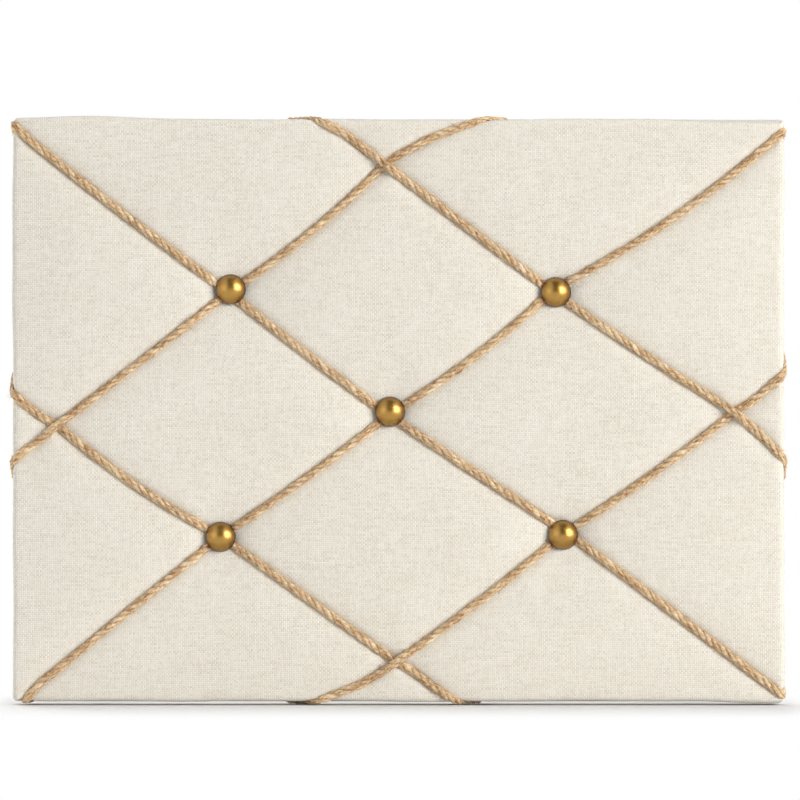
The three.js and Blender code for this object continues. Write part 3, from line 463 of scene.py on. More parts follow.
def make(name, verts, faces, slot, nodes=(), body="board", attributes=None, smooth=True):
    """A piece from points in millimetres, riding on a body and standing for some nodes."""
    mesh = bpy.data.meshes.new(name)
    mesh.from_pydata((np.asarray(verts, float) * MM).tolist(), [], faces)
    for key, values in (attributes or {}).items():
        values = np.asarray(values, np.float32)
        kind, entry = ("FLOAT_VECTOR", "vector") if values.ndim == 2 else ("FLOAT", "value")
        mesh.attributes.new(key, kind, "POINT").data.foreach_set(entry, values.ravel())
    mesh.polygons.foreach_set("use_smooth", [smooth] * len(mesh.polygons))
    shape = bmesh.new()
    shape.from_mesh(mesh)
    bmesh.ops.recalc_face_normals(shape, faces=shape.faces)
    shape.to_mesh(mesh)
    shape.free()
    mesh.materials.append(FINISHES[slot])
    made = show(name, mesh)
    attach(made, body)
    if nodes:
        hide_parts(*nodes)
    return made


def stand_in(look, node, verts, faces, slot, **more):
    """A piece that stands for one node and is named after it and its look."""
    return make(f"{look}_{node}", verts, faces, slot, [node], **more)


def at(x, z, h):
    x, z, h = np.broadcast_arrays(np.asarray(x, float), z, h)
    return np.stack([x, -(CORE_FRONT + h), z], axis=-1)


def grid_faces(rows, columns, closed_rows=False, closed_columns=False, start=0):
    """Quads of a grid of points that lie row by row."""
    i = np.arange(rows if closed_rows else rows - 1)
    j = np.arange(columns if closed_columns else columns - 1)
    i, j = (k.ravel() for k in np.meshgrid(i, j, indexing="ij"))
    k, m = (i + 1) % rows, (j + 1) % columns
    quads = np.stack([i * columns + j, i * columns + m, k * columns + m, k * columns + j], axis=1)
    return (quads + start).tolist()


def tube_faces(rows, columns, start=0):
    """Quads of a tube of closed rows of points, and a face on each end."""
    first = list(range(start, start + columns))
    last = [k + (rows - 1) * columns for k in reversed(first)]
    return grid_faces(rows, columns, closed_columns=True, start=start) + [first, last]


def sweep(line, first, second, section, closed):
    """Points and faces of a section of [a, b] pairs moved along a line; first and second are its axes."""
    section = np.asarray(section, float)
    size = len(line), len(section)
    points = line[:, None] + first[:, None] * section[None, :, :1] + second[:, None] * section[None, :, 1:]
    return points.reshape(-1, 3), grid_faces(*size, True, True) if closed else tube_faces(*size)


def angles(count):
    return np.arange(count) * 2 * math.pi / count


def unit(v):
    return v / np.maximum(np.linalg.norm(v, axis=-1, keepdims=True), 1e-9)


def turned(profile, count, x, z):
    """A turned piece from [radius, height] points that start and end on its axis."""
    profile = np.asarray(profile, float)
    body, turn = profile[1:-1], angles(count)
    points = at(x + body[:, :1] * np.cos(turn), z + body[:, :1] * np.sin(turn), body[:, 1:]).reshape(-1, 3)
    ends = at([x, x], [z, z], profile[[0, -1], 1])
    faces = grid_faces(len(body), count, closed_columns=True)
    low, last = len(points), len(points) - count
    for k in range(count):
        m = (k + 1) % count
        faces += [[low, m, k], [low + 1, last + k, last + m]]
    return np.concatenate([points, ends]), faces


def smoothed(values, sigma):
    """Values along a line, softened over a few samples; the ends stay."""
    reach = int(4 * sigma) + 1
    weights = np.exp(-0.5 * (np.arange(-reach, reach + 1) / sigma) ** 2)
    weights /= weights.sum()
    padded = np.pad(values, [(reach, reach)] + [(0, 0)] * (values.ndim - 1), mode="edge")
    return sum(w * padded[k:k + len(values)] for k, w in enumerate(weights))


def wave(s, length, phase):
    """A slow uneven wave along a line, about -1 to 1."""
    total = np.zeros(len(s))
    for k, share in ((1.0, 0.5), (1.9, 0.3), (3.7, 0.2)):
        total += share * np.sin(2 * math.pi * k * s / length + phase * (1 + 2.3 * k))
    return total


# Twine lines on the front


def edge_height(inset):
    """Free height of the cloth at a distance in from the edge."""
    inset = np.asarray(inset, float)
    part = np.clip((EDGE_L - inset) / EDGE_L, 0, 1)
    return (CROWN - EDGE_DROP * np.exp(-inset / EDGE_REACH)) * (1 - part ** EDGE_POWER) ** (1 / EDGE_POWER)


def inset_of(x, z):
    return np.minimum(HALF_W - np.abs(x), HALF_H - np.abs(z))


def drawn_down(x, z, free, reach, *pulls):
    """A height that falls towards knots: their places, how far they draw it down and from what radius."""
    height = np.full(np.shape(x), free)
    for knots, drop, rim in pulls:
        for kx, kz in knots.values():
            height = height - drop * np.exp(-np.maximum(np.hypot(x - kx, z - kz) - rim, 0) / reach)
    return height * edge_height(inset_of(x, z)) / CROWN


def groove(x, z):
    """Height of the cloth under a twine."""
    nail, crossing = PAD_TWINE - PAD_NAIL, PAD_TWINE - PAD_CROSS
    return drawn_down(x, z, PAD_TWINE, DIMPLE, (NAILS, nail, 0), (CROSSINGS, crossing, 0))


def pillow(x, z):
    """Height of the cloth away from the twines."""
    return drawn_down(x, z, CROWN, PUFF, (NAILS, CROWN - NAIL_SEAT, NAIL_PRESS), (CROSSINGS, CROSS_DROP, 0))


def on_side(side, along, inset):
    """Plan place at a distance along a side from its middle, and in from it."""
    sx, sz, half = SIDES[side]
    along, inset = np.asarray(along, float), np.asarray(inset, float)
    return sx * (half - inset) + abs(sz) * along, sz * (half - inset) + abs(sx) * along


PLACES = {**NAILS, **CROSSINGS, **{name: on_side(end[0], end[1], RIM_IN) for name, end in ENDS.items()}}


def kind_of(place):
    return "nail" if place in NAILS else "crossing" if place in CROSSINGS else "rim"


def front_line(name):
    """Samples of a twine on the front: place, height, share of its thickness and distances from its knots."""
    route = TWINES[name][0]
    beside, bows = (0, *LAID[name][0], 0), LAID[name][1]
    parts, away = [], {place: [] for place in route}
    for k, (start, end) in enumerate(zip(route, route[1:])):
        p, q = np.array(PLACES[start]), np.array(PLACES[end])
        length = np.linalg.norm(q - p)
        t = np.linspace(0, 1, int(length / LINE_STEP), endpoint=k == len(route) - 2)
        upward = np.array([p[1] - q[1], q[0] - p[0]]) * (np.sign(q[0] - p[0]) / length)
        rise = beside[k] * (1 - t) + beside[k + 1] * t + bows[k] * 4 * t * (1 - t)
        ends = {start: t * length, end: (1 - t) * length}
        lost = sum(
            (1 - SQUASH[kind_of(place)]) * np.exp(-(far / SQUASH_REACH) ** 2) for place, far in ends.items()
        )
        parts.append(np.column_stack([p + (q - p) * t[:, None] + upward * rise[:, None], 1 - lost]))
        for place in route:
            away[place].append(ends.get(place, np.full(len(t), FAR)))
    x, z, share = np.concatenate(parts).T
    away = {place: np.concatenate(far) for place, far in away.items()}
    return {"x": x, "z": z, "h": groove(x, z) + TWINE_R * share, "share": share, "away": away}


def sink_of(name):
    return CORNER_SINK if name[0] in "ab" else SINK


def side_place(name, h):
    """Place along its side, at a height, of a twine end that runs down it."""
    _, _, leaving, turn, _ = ENDS[name]
    top = float(edge_height(RIM_IN))
    return leaving + (turn - leaving) * SIDE_SHARE * np.clip((top - h) / (top - SIDE_FOOT), 0, 1)


def end_line(name):
    """A twine end from the rim to its tail: points, facing vectors and share of the height."""
    side, rim, leaving, turn, anchor = ENDS[name]
    sx, sz, _ = SIDES[side]
    sink = sink_of(name)
    rim_sink = float(edge_height(RIM_IN)) * (1 - PAD_TWINE / CROWN)
    rows = []

    def add(along, inset, h, facing, share):
        x, z = on_side(side, along, inset)
        rows.append([*at(x, z, h), sx * math.sin(facing), -math.cos(facing), sz * math.sin(facing), share])

    for angle in np.linspace(0, QUARTER, EDGE_STEPS + 1)[1:]:
        t = angle / QUARTER
        inset = RIM_IN * (1 - math.sin(angle))
        share = SQUASH["rim"] + (SQUASH_EDGE - SQUASH["rim"]) * t
        low, ahead = float(edge_height(inset)), float(edge_height(inset + 0.2))
        facing = math.atan2(ahead - low, 0.2) if t < 1 else QUARTER
        lift = TWINE_R * share - rim_sink * (1 - t) - sink * t
        along = side_place(name, low) - (leaving - rim) * (1 - math.sin(angle))
        add(along, inset - lift * math.sin(facing), low + lift * math.cos(facing), facing, share)
    lift = TWINE_R * SQUASH_EDGE - sink
    for h in np.linspace(0, SIDE_FOOT, 10)[1:]:
        add(side_place(name, h), -lift, h, QUARTER, SQUASH_EDGE)
    low_end = side_place(name, SIDE_FOOT)
    for t in np.linspace(0, 1, 8)[1:]:
        angle = QUARTER * (1 + t)
        reach = BACK_R + lift + (sink + TWINE_GAP) * t
        h = SIDE_FOOT + reach * math.cos(angle)
        add(low_end + (turn - low_end) * t, BACK_R - reach * math.sin(angle), h, angle, SQUASH_EDGE)
    tx, tz = (float(v) for v in on_side(side, turn, BACK_R))
    ax, az = (float(v) for v in on_side(side, anchor, ANCHOR_IN))
    hem = (MARGIN + FIT - BACK_R) / (ANCHOR_IN - BACK_R)
    where = [0, hem, 1, 1 + TAIL / math.hypot(ax - tx, az - tz)]
    shares = np.array([SQUASH_EDGE, SQUASH_BACK, SQUASH_STAPLE, SQUASH_BACK])
    heights = np.array([BACK, BACK, -CORE_T, -CORE_T]) - TWINE_R * shares - TWINE_GAP
    for t in np.linspace(0, where[-1], 40)[1:]:
        point = at(tx + (ax - tx) * t, tz + (az - tz) * t, np.interp(t, where, heights))
        rows.append([*point, 0, 1, 0, np.interp(t, where, shares)])
    return np.array(rows)


lines, knot_tops = {}, {}
for name, (route, over) in TWINES.items():
    line = lines[name] = front_line(name)
    for place in route[1:-1]:
        if place not in over:
            near = int(np.argmin(line["away"][place]))
            knot_tops[place] = line["h"][near] + TWINE_R * line["share"][near]
for name, (_, over) in TWINES.items():
    line = lines[name]
    for place in over:
        drop = RAMP * np.maximum(0, line["away"][place] - PLATEAU)
        line["h"] = np.maximum(line["h"], knot_tops[place] + TWINE_R * line["share"] - drop)


# The cloth settles: a tight skin on springy wadding, pressed down by twines and nails


def settle():
    """How far the cloth lies over or under its free height, on a grid."""
    nx, nz = int(2 * HALF_W / GRID) + 1, int(2 * HALF_H / GRID) + 1
    xs, zs = np.linspace(-HALF_W, HALF_W, nx), np.linspace(-HALF_H, HALF_H, nz)
    gx, gz = np.meshgrid(xs, zs, indexing="ij")
    free = pillow(gx, gz)
    limit = np.full((nx, nz), FAR)
    pressing = [(line["x"], line["z"], line["h"], line["share"]) for line in lines.values()]
    for name in ENDS:
        rows = end_line(name)[:EDGE_STEPS]
        x, y, z, *_, share = rows[rows[:, 4] < -0.8].T
        pressing.append((x, z, -y - CORE_FRONT, share))
    near = range(-HUG_CELLS, HUG_CELLS + 1)
    for x, z, h, share in pressing:
        wide, high = HUG * TWINE_R * (1 + SPREAD * (1 - share)), TWINE_R * share
        ci, cj = np.rint((x + HALF_W) / GRID).astype(int), np.rint((z + HALF_H) / GRID).astype(int)
        for di, dj in ((di, dj) for di in near for dj in near):
            i, j = np.clip(ci + di, 0, nx - 1), np.clip(cj + dj, 0, nz - 1)
            off = np.hypot(xs[i] - x, zs[j] - z) / wide
            under = h - high * np.sqrt(np.clip(1 - off ** 2, 0, 1))
            np.minimum.at(limit, (i, j), np.where(off < 1, under, FAR))
    for x, z in NAILS.values():
        limit = np.minimum(limit, np.where(np.hypot(gx - x, gz - z) < NAIL_PRESS, NAIL_RIM, FAR))
    lower = np.minimum(limit - free, 0)
    sag = lower.copy()
    pull = (CLOTH_REACH / GRID) ** 2
    for _ in range(SETTLE_ROUNDS):
        wide = np.pad(sag, 1, mode="edge")
        around = wide[2:, 1:-1] + wide[:-2, 1:-1] + wide[1:-1, 2:] + wide[1:-1, :-2]
        sag = np.minimum(pull * around / (4 * pull + 1), lower)
    settled = sag + free
    settled = settled + swell(gx, gz, settled, limit < FAR)
    return settled - edge_height(inset_of(gx, gz))


def read_grid(grid, fx, fz):
    """Values of a grid between its points, at places counted in its steps."""
    fx, fz = (np.clip(f, 0, size - 1.001) for f, size in zip((fx, fz), grid.shape))
    i, j = fx.astype(int), fz.astype(int)
    u, v = fx - i, fz - j
    low = grid[i, j] * (1 - v) + grid[i, j + 1] * v
    high = grid[i + 1, j] * (1 - v) + grid[i + 1, j + 1] * v
    return low * (1 - u) + high * u


def swell(gx, gz, height, pressed):
    """How far the cloth swells between what holds it, within a cap: a cloth simulation of a coarse sheet."""
    held = pressed | (inset_of(gx, gz) < LATTICE_IN)
    for axis in (0, 1):
        held = held | np.roll(held, 1, axis) | np.roll(held, -1, axis)
    coarse = (slice(None, None, SWELL_EVERY),) * 2
    start, held = at(gx[coarse], gz[coarse], height[coarse]), held[coarse]
    mesh = bpy.data.meshes.new("swell")
    mesh.from_pydata((start.reshape(-1, 3) * MM).tolist(), [], [f[::-1] for f in grid_faces(*held.shape)])
    sheet = show("swell", mesh)
    sheet.vertex_groups.new(name="held").add(np.flatnonzero(held).tolist(), 1.0, "REPLACE")
    cloth = sheet.modifiers.new("swell", "CLOTH").settings
    cloth.quality = 6
    cloth.vertex_group_mass = "held"
    cloth.use_pressure = True
    cloth.uniform_pressure_force = SWELL_PRESSURE
    cloth.effector_weights.gravity = 0
    scene = bpy.context.scene
    for number in range(1, SWELL_FRAMES + 1):
        scene.frame_set(number)
    moved = np.empty(start.size, np.float32)
    sheet.evaluated_get(bpy.context.evaluated_depsgraph_get()).data.vertices.foreach_get("co", moved)
    rise = start[..., 1] - moved.reshape(start.shape)[..., 1] / MM
    scene.frame_set(1)
    bpy.data.objects.remove(sheet)
    bpy.data.meshes.remove(mesh)
    i, j = np.indices(gx.shape) / SWELL_EVERY
    return read_grid(SWELL_CAP * np.tanh(rise / SWELL_CAP), i, j)


sag_grid = settle()


def sag_at(x, z):
    return read_grid(sag_grid, (x + HALF_W) / GRID, (z + HALF_H) / GRID)


# Cover and wadding


def lattice_line(half):
    """Lattice lines along one way, closer together near the ends."""
    inner = half - LATTICE_IN
    fine = np.arange(0, LATTICE_FINE, 0.75)
    coarse = inner - LATTICE_FINE
    return np.concatenate([-inner + fine, np.linspace(-coarse, coarse, int(coarse) + 1), inner - fine[::-1]])


LX, LZ = lattice_line(HALF_W), lattice_line(HALF_H)
NX, NZ = len(LX), len(LZ)
GX, GZ = (k.ravel() for k in np.meshgrid(LX, LZ, indexing="ij"))

# The way round the lattice's edge: indices, and the side that each belongs to
WALK = [
    *((i, 0, "bottom") for i in range(NX)),
    *((NX - 1, j, "right") for j in range(1, NZ)),
    *((i, NZ - 1, "top") for i in range(NX - 2, -1, -1)),
    *((0, j, "left") for j in range(NZ - 2, 0, -1)),
]
WALK_SIDE = np.array([side for _, _, side in WALK])
WALK_INDEX = np.array([i * NZ + j for i, j, _ in WALK])
WALK_SHARE = np.array([[LX[i] / LX[-1], LZ[j] / LZ[-1]] for i, j, _ in WALK])
WALK_OUT = np.array([SIDES[side][:2] for side in WALK_SIDE], float)
ACROSS = np.isin(WALK_SIDE, ("top", "bottom"))  # sides that run along X


def loop_at(inset):
    """Plan points of a loop round the board, and the way out at each of them."""
    hx, hz = HALF_W - inset, HALF_H - inset
    radius = max(CORNER_R * (1 - inset / LATTICE_IN), 0.01)
    sign_x, sign_z = (np.sign(WALK_SHARE) + (WALK_SHARE == 0)).T
    x, z = WALK_SHARE[:, 0] * hx, WALK_SHARE[:, 1] * hz
    gap = np.where(ACROSS, hx - np.abs(x), hz - np.abs(z))
    turn = (math.pi / 4) * np.clip(1 - gap / radius, 0, 1)
    bent = turn > 0
    lead, side = radius * (np.sin(turn) - 1), radius * (np.cos(turn) - 1)
    x = np.where(bent, sign_x * (hx + np.where(ACROSS, lead, side)), x)
    z = np.where(bent, sign_z * (hz + np.where(ACROSS, side, lead)), z)
    out_x = np.where(ACROSS, np.sin(turn), np.cos(turn)) * np.where(ACROSS & ~bent, 0, sign_x)
    out_z = np.where(ACROSS, np.cos(turn), np.sin(turn)) * np.where(~ACROSS & ~bent, 0, sign_z)
    return x, z, out_x, out_z


def edge_profile():
    """The edge's section from the lattice round to the margin's end: inset, height and kind."""
    profile = []
    for angle in np.linspace(0, QUARTER, EDGE_LOOPS + 1)[1:]:
        inset = LATTICE_IN * (1 - math.sin(angle))
        profile.append((inset, float(edge_height(inset)), "front"))
    for h in np.linspace(0, SIDE_FOOT, 6)[1:]:
        profile.append((0.0, float(h), "side"))
    for angle in np.linspace(0, QUARTER, 5)[1:]:
        profile.append((BACK_R * (1 - math.cos(angle)), BACK + BACK_R * (1 - math.sin(angle)), "back"))
    for inset in np.linspace(BACK_R, MARGIN, 14)[1:]:
        profile.append((float(inset), BACK, "margin"))
    return profile


def side_dents(x, z, h):
    """How far the twine ends press the padded edge in at a height."""
    depth = np.zeros(len(x))
    for name, end in ENDS.items():
        cx, cz = on_side(end[0], side_place(name, h), 0)
        depth += sink_of(name) * np.exp(-((x - cx) ** 2 + (z - cz) ** 2) / DENT_R ** 2)
    return depth


def outline_wave(along):
    """The hand-pulled cloth's uneven outline."""
    wobble = np.zeros(len(along))
    for side, stops in EDGE_WAVES.items():
        where, rise = (np.array(v) for v in zip(*stops))
        near = np.clip(np.searchsorted(where, along, side="right") - 1, 0, len(where) - 2)
        t = np.clip((along - where[near]) / (where[near + 1] - where[near]), 0, 1)
        slow = rise[near] + (rise[near + 1] - rise[near]) * (t * t * (3 - 2 * t))
        wobble += np.where(WALK_SIDE == side, slow, 0)
    for side, phase in EDGE_PHASES.items():
        ripple = 0.2 * np.sin(along / 21 + phase) + 0.16 * np.sin(along / 9.7 + 2.1 * phase)
        wobble += np.where(WALK_SIDE == side, ripple + 0.2 * np.sin(along / 47 + 3 * phase), 0)
    return wobble


def edge_push(x, z, inset, h, kind):
    """How far out a loop of the edge lies: uneven outline and the side's bulge, less the twines' dents."""
    uneven = outline_wave(np.where(ACROSS, x, z))
    uneven = np.where(uneven < 0, uneven * np.clip(h / CROWN, 0.15, 1), uneven)
    if kind == "side":
        bulge = SIDE_BULGE * math.sin(math.pi * np.clip(-h / CORE_T, 0, 1))
        return uneven + bulge - side_dents(x, z, h)
    push = math.sin(QUARTER * (1 - inset / LATTICE_IN)) * (uneven - side_dents(x, z, h))
    return push * max(0.25, 1 - inset / BACK_R) if kind == "back" else push


def margin_folds(x, z, inset):
    """Folded layers of cloth at the back's corners, and the staples' dimples."""
    along = np.where(ACROSS, x, z)
    mitre = np.where(ACROSS, HALF_W, HALF_H) - inset - np.abs(along)
    lapped = (WALK_SIDE == "top") | ((WALK_SIDE == "bottom") & (x > 0)) | ((WALK_SIDE == "left") & (z < 0))
    lap = LAP / (1 + np.exp((mitre - LAP_WIDTH) / 0.7)) - LAP_CREASE * np.exp(-(mitre / 0.8) ** 2)
    rise = np.where(lapped, lap, 0)
    for side, row in COVER_STAPLES.items():
        for place in row:
            sx, sz = on_side(side, place, COVER_STAPLE_IN)
            off = ((x - sx) / STAPLE_DIMPLE_R) ** 2 + ((z - sz) / STAPLE_DIMPLE_R) ** 2
            rise -= STAPLE_DIMPLE * np.exp(-off)
    return rise + 0.12 * np.sin(along / 6.3 + inset / 5) * np.clip(inset / 12, 0, 1)


def cover_face():
    """Points of the cloth's outer face, their flat places, its quads and the points of its cut edge."""
    points = [at(GX, GZ, edge_height(inset_of(GX, GZ)) + sag_at(GX, GZ))]
    flats = [np.stack([GX, GZ], axis=1)]
    faces = [f[::-1] for f in grid_faces(NX, NZ)]
    last, gone, before = WALK_INDEX, 0.0, (LATTICE_IN, float(edge_height(LATTICE_IN)))
    count, start = len(WALK), NX * NZ
    for inset, h, kind in edge_profile():
        x, z, out_x, out_z = loop_at(inset)
        gone += math.dist((inset, h), before)
        before = (inset, h)
        flat_out = np.where(ACROSS, HALF_H, HALF_W) - LATTICE_IN + gone
        flats.append(np.where(WALK_OUT != 0, WALK_OUT * flat_out[:, None], np.stack([x, z], axis=1)))
        height = np.full(count, h)
        if kind == "front":
            height = height + sag_at(x, z) * np.clip(h / CROWN, 0, 1) ** 0.5
        if kind == "margin":
            height = height - margin_folds(x, z, inset)
        else:
            push = edge_push(x, z, inset, h, kind)
            x, z = x + out_x * push, z + out_z * push
        points.append(at(x, z, height))
        here = start + np.arange(count)
        faces += np.stack([last, here, np.roll(here, -1), np.roll(last, -1)], axis=1).tolist()
        last, start = here, start + count
    return np.concatenate(points), np.concatenate(flats), faces, last


def point_normals(points, faces):
    quads = np.asarray(faces)
    p = points[quads]
    across = np.cross(p[:, 2] - p[:, 0], p[:, 3] - p[:, 1])
    total = np.zeros_like(points)
    for k in range(4):
        np.add.at(total, quads[:, k], across)
    return unit(total)


cover_points, cover_flat, cover_faces, cover_hem = cover_face()
cover_normals = point_normals(cover_points, cover_faces)


def make_cover():
    count = len(cover_points)
    faces = list(cover_faces) + [[count + k for k in reversed(f)] for f in cover_faces]
    hem = cover_hem.tolist()
    faces += [[k, count + k, count + m, m] for k, m in zip(hem, hem[1:] + hem[:1])]
    flat = np.column_stack([np.tile(cover_flat, (2, 1)), np.zeros(2 * count)])
    points = np.concatenate([cover_points, cover_points - COVER_T * cover_normals])
    return make("linen_cover", points, faces, "linen", ["fabric_cover"], attributes={"flat": flat})


def make_wadding():
    """The wadding under the cloth, down to the core's front."""
    count = len(WALK)
    used = NX * NZ + EDGE_LOOPS * count
    top = cover_points[:used] - (COVER_T + 0.25) * cover_normals[:used]
    foot = top[used - count:].copy()
    foot[:, 1] = -(CORE_FRONT + FIT)
    faces = [f for f in cover_faces if max(f) < used]
    steps = np.arange(count)
    edge, floor_edge, base = (
        np.stack([first, np.roll(first, -1)], axis=1)
        for first in (used - count + steps, used + steps, used + count + WALK_INDEX)
    )
    faces += np.column_stack([edge, floor_edge[:, ::-1]]).tolist()
    faces += np.column_stack([floor_edge, base[:, ::-1]]).tolist()
    faces += [[used + count + k for k in reversed(f)] for f in grid_faces(NX, NZ)]
    points = np.concatenate([top, foot, at(GX, GZ, FIT)])
    return make("wadding", points, faces, "wadding", ["foam_pad"])


# Threads and hairs: thin three-sided tubes along short curved lines


def strands(starts, ways, bends, lengths, radii, steps=4):
    """Points and faces of many thin tapering threads."""
    t = np.linspace(0, 1, steps)[None, :, None]
    length = lengths[:, None, None]
    middle = starts[:, None] + ways[:, None] * length * t + bends[:, None] * length * t ** 2
    along = unit(np.gradient(middle, axis=1))
    side = unit(np.cross(along, unit(np.array([0.31, 0.77, 0.55]))))
    lift = np.cross(along, side)
    thin = radii[:, None, None] * (1 - 0.6 * t)
    rings = [middle + thin * (math.cos(a) * side + math.sin(a) * lift) for a in (0, 2.0944, 4.1888)]
    points = np.stack(rings, axis=2).reshape(-1, 3)
    single = tube_faces(steps, 3)
    return points, [[v + 3 * steps * n for v in face] for n in range(len(starts)) for face in single]


def make_fringe():
    """Loose thread ends along the margin's cut edge."""
    hem = cover_points[cover_hem]
    pick = rng.integers(0, len(hem), FRINGE)
    starts = hem[pick] + np.array([0, -0.35, 0])
    ways = np.insert(-WALK_OUT[pick], 1, 0, axis=1)
    ways = unit(ways + rng.normal(0, 0.35, ways.shape) * np.array([1, 0.05, 1]))
    bends = rng.normal(0, 0.4, ways.shape) * np.array([1, 0.03, 1])
    lengths = rng.uniform(0.8, 3.2, FRINGE)
    points, faces = strands(starts, ways, bends, lengths, np.full(FRINGE, FRINGE_R))
    return make("linen_fringe", points, faces, "linen", attributes={"flat": points[:, [0, 2, 1]]})


# Twines


def whole_line(name):
    """A twine at even steps: points, along, across and up vectors, half its width and half its height."""
    route, line = TWINES[name][0], lines[name]
    facing = np.tile([0.0, -1.0, 0.0], (len(line["x"]), 1))
    front = np.column_stack([at(line["x"], line["z"], line["h"]), facing, line["share"]])

    def even(rows, step):
        gone = np.concatenate([[0], np.cumsum(np.linalg.norm(np.diff(rows[:, :3], axis=0), axis=1))])
        s = np.arange(0, gone[-1], step)
        return np.stack([np.interp(s, gone, column) for column in rows.T], axis=1)

    rows = np.concatenate([end_line(route[0])[::-1], front, end_line(route[-1])])
    rows = even(smoothed(even(rows, LINE_STEP), 2.6), TWINE_STEP)
    along = unit(np.gradient(rows[:, :3], axis=0))
    across = unit(np.cross(along, unit(rows[:, 3:6])))
    share = rows[:, 6]
    wide, high = TWINE_R * (1 + SPREAD * (1 - share)), TWINE_R * share
    return rows[:, :3], along, across, np.cross(across, along), wide, high


def make_twine(name):
    """Three twisted strands, and the hairs that stand off them."""
    middle, along, across, up, wide, high = whole_line(name)
    middle = middle - up * ((1 - YARN) * high)[:, None]
    wide, high = YARN * wide, YARN * high
    count = len(middle)
    s = np.arange(count) * TWINE_STEP
    phase = rng.uniform(0, 2 * math.pi)
    turn = phase - 2 * math.pi * s / TWINE_LEAD + 0.6 * wave(s, 70, phase)
    points, faces, lay, out = [], [], [], []
    psi = angles(STRAND_SIDES)
    for strand in range(3):
        angle = turn + strand * 2 * math.pi / 3
        swelling = 1 + 0.09 * wave(s, 23, phase + 2 * strand) + rng.normal(0, 0.025, count)
        rough = 1 + 0.16 * smoothed(rng.normal(0, 1, (count, STRAND_SIDES)), 0.8)
        axes = (wide, np.cos(angle), np.cos(psi)), (high, np.sin(angle), np.sin(psi))
        px, py = (
            (STRAND_OFF * half * middle_at)[:, None] + (STRAND_R * half * swelling)[:, None] * rough * side
            for half, middle_at, side in axes
        )
        ring = middle[:, None] + across[:, None] * px[..., None] + up[:, None] * py[..., None]
        points.append(ring.reshape(-1, 3))
        faces += tube_faces(count, STRAND_SIDES, strand * count * STRAND_SIDES)
        roll = psi[None] + 0.5 * angle[:, None]
        lengthwise = np.repeat(s[:, None], STRAND_SIDES, axis=1)
        fibres = [1.3 * np.cos(roll) + 9 * strand, 1.3 * np.sin(roll), lengthwise]
        lay.append(np.stack(fibres, axis=-1).reshape(-1, 3))
        out.append(np.hypot(px / wide[:, None], py / high[:, None]).ravel())
    pick = rng.integers(2, count - 2, int(count * TWINE_STEP * HAIRS))
    pick = pick[(up[pick, 1] < -0.4) & (np.abs(middle[pick, 2]) < HALF_H - 3)]
    hairs = len(pick)
    lean = rng.normal(0, 1.0, hairs)
    aside, outside = across[pick] * np.sin(lean)[:, None], up[pick] * np.cos(lean)[:, None]
    outward = aside + outside
    starts = middle[pick] + 0.86 * (aside * wide[pick, None] + outside * high[pick, None])
    flow = rng.choice([-0.8, 0.8], hairs)[:, None] * along[pick] + rng.uniform(0.1, 1.0, (hairs, 1)) * outward
    ways = unit(flow + rng.normal(0, 0.25, starts.shape))
    bends = 0.45 * outward * rng.uniform(0, 1, (hairs, 1)) + rng.normal(0, 0.16, starts.shape)
    lengths = rng.uniform(0.8, 2.8, hairs)
    thread, thread_faces = strands(starts, ways, bends, lengths, rng.uniform(0.05, 0.085, hairs), HAIR_STEPS)
    base = 3 * count * STRAND_SIDES
    faces += [[base + v for v in face] for face in thread_faces]
    lay.append(np.column_stack([thread[:, 0], thread[:, 2], np.repeat(s[pick], 3 * HAIR_STEPS)]))
    out.append(np.full(len(thread), 1.0))
    attributes = {"lay": np.concatenate(lay), "out": np.concatenate(out)}
    stand_in("jute", "twine_" + name, np.concatenate([*points, thread]), faces, "jute", attributes=attributes)


# Nails


def make_nail(number, x, z):
    """A hollow dome with a rolled rim, and its shank."""
    ball = (NAIL_R ** 2 + NAIL_DOME ** 2) / (2 * NAIL_DOME)
    centre = NAIL_RIM + NAIL_DOME - ball
    inside = ball - NAIL_WALL
    mouth = math.sqrt(inside ** 2 - (NAIL_RIM - centre) ** 2)
    profile = [(0, -NAIL_DEPTH), (0.25, -NAIL_DEPTH + 0.5), (NAIL_SHANK_R, -NAIL_DEPTH + NAIL_TIP)]
    for r in np.linspace(NAIL_SHANK_R, mouth, 10):
        profile.append((r, centre + math.sqrt(inside ** 2 - r ** 2)))
    lip, roll = (mouth + NAIL_R) / 2, (NAIL_R - mouth) / 2
    for turn in np.radians(np.linspace(180, 360, 8)[1:-1]):
        profile.append((lip + roll * math.cos(turn), NAIL_RIM + 0.5 * roll * math.sin(turn)))
    for r in NAIL_R * np.sin(np.linspace(QUARTER, 0, 20)[:-1]):
        profile.append((r, centre + math.sqrt(ball ** 2 - r ** 2)))
    profile.append((0.0, NAIL_RIM + NAIL_DOME))
    points, faces = turned(profile, 56, x, z)
    height = -points[:, 1] - CORE_FRONT
    out = np.clip((height - NAIL_RIM) / NAIL_DOME, 0, 1) ** 0.7
    stand_in("brass", f"nail_{number}", points, faces, "antique_brass", attributes={"out": out})


# Staples


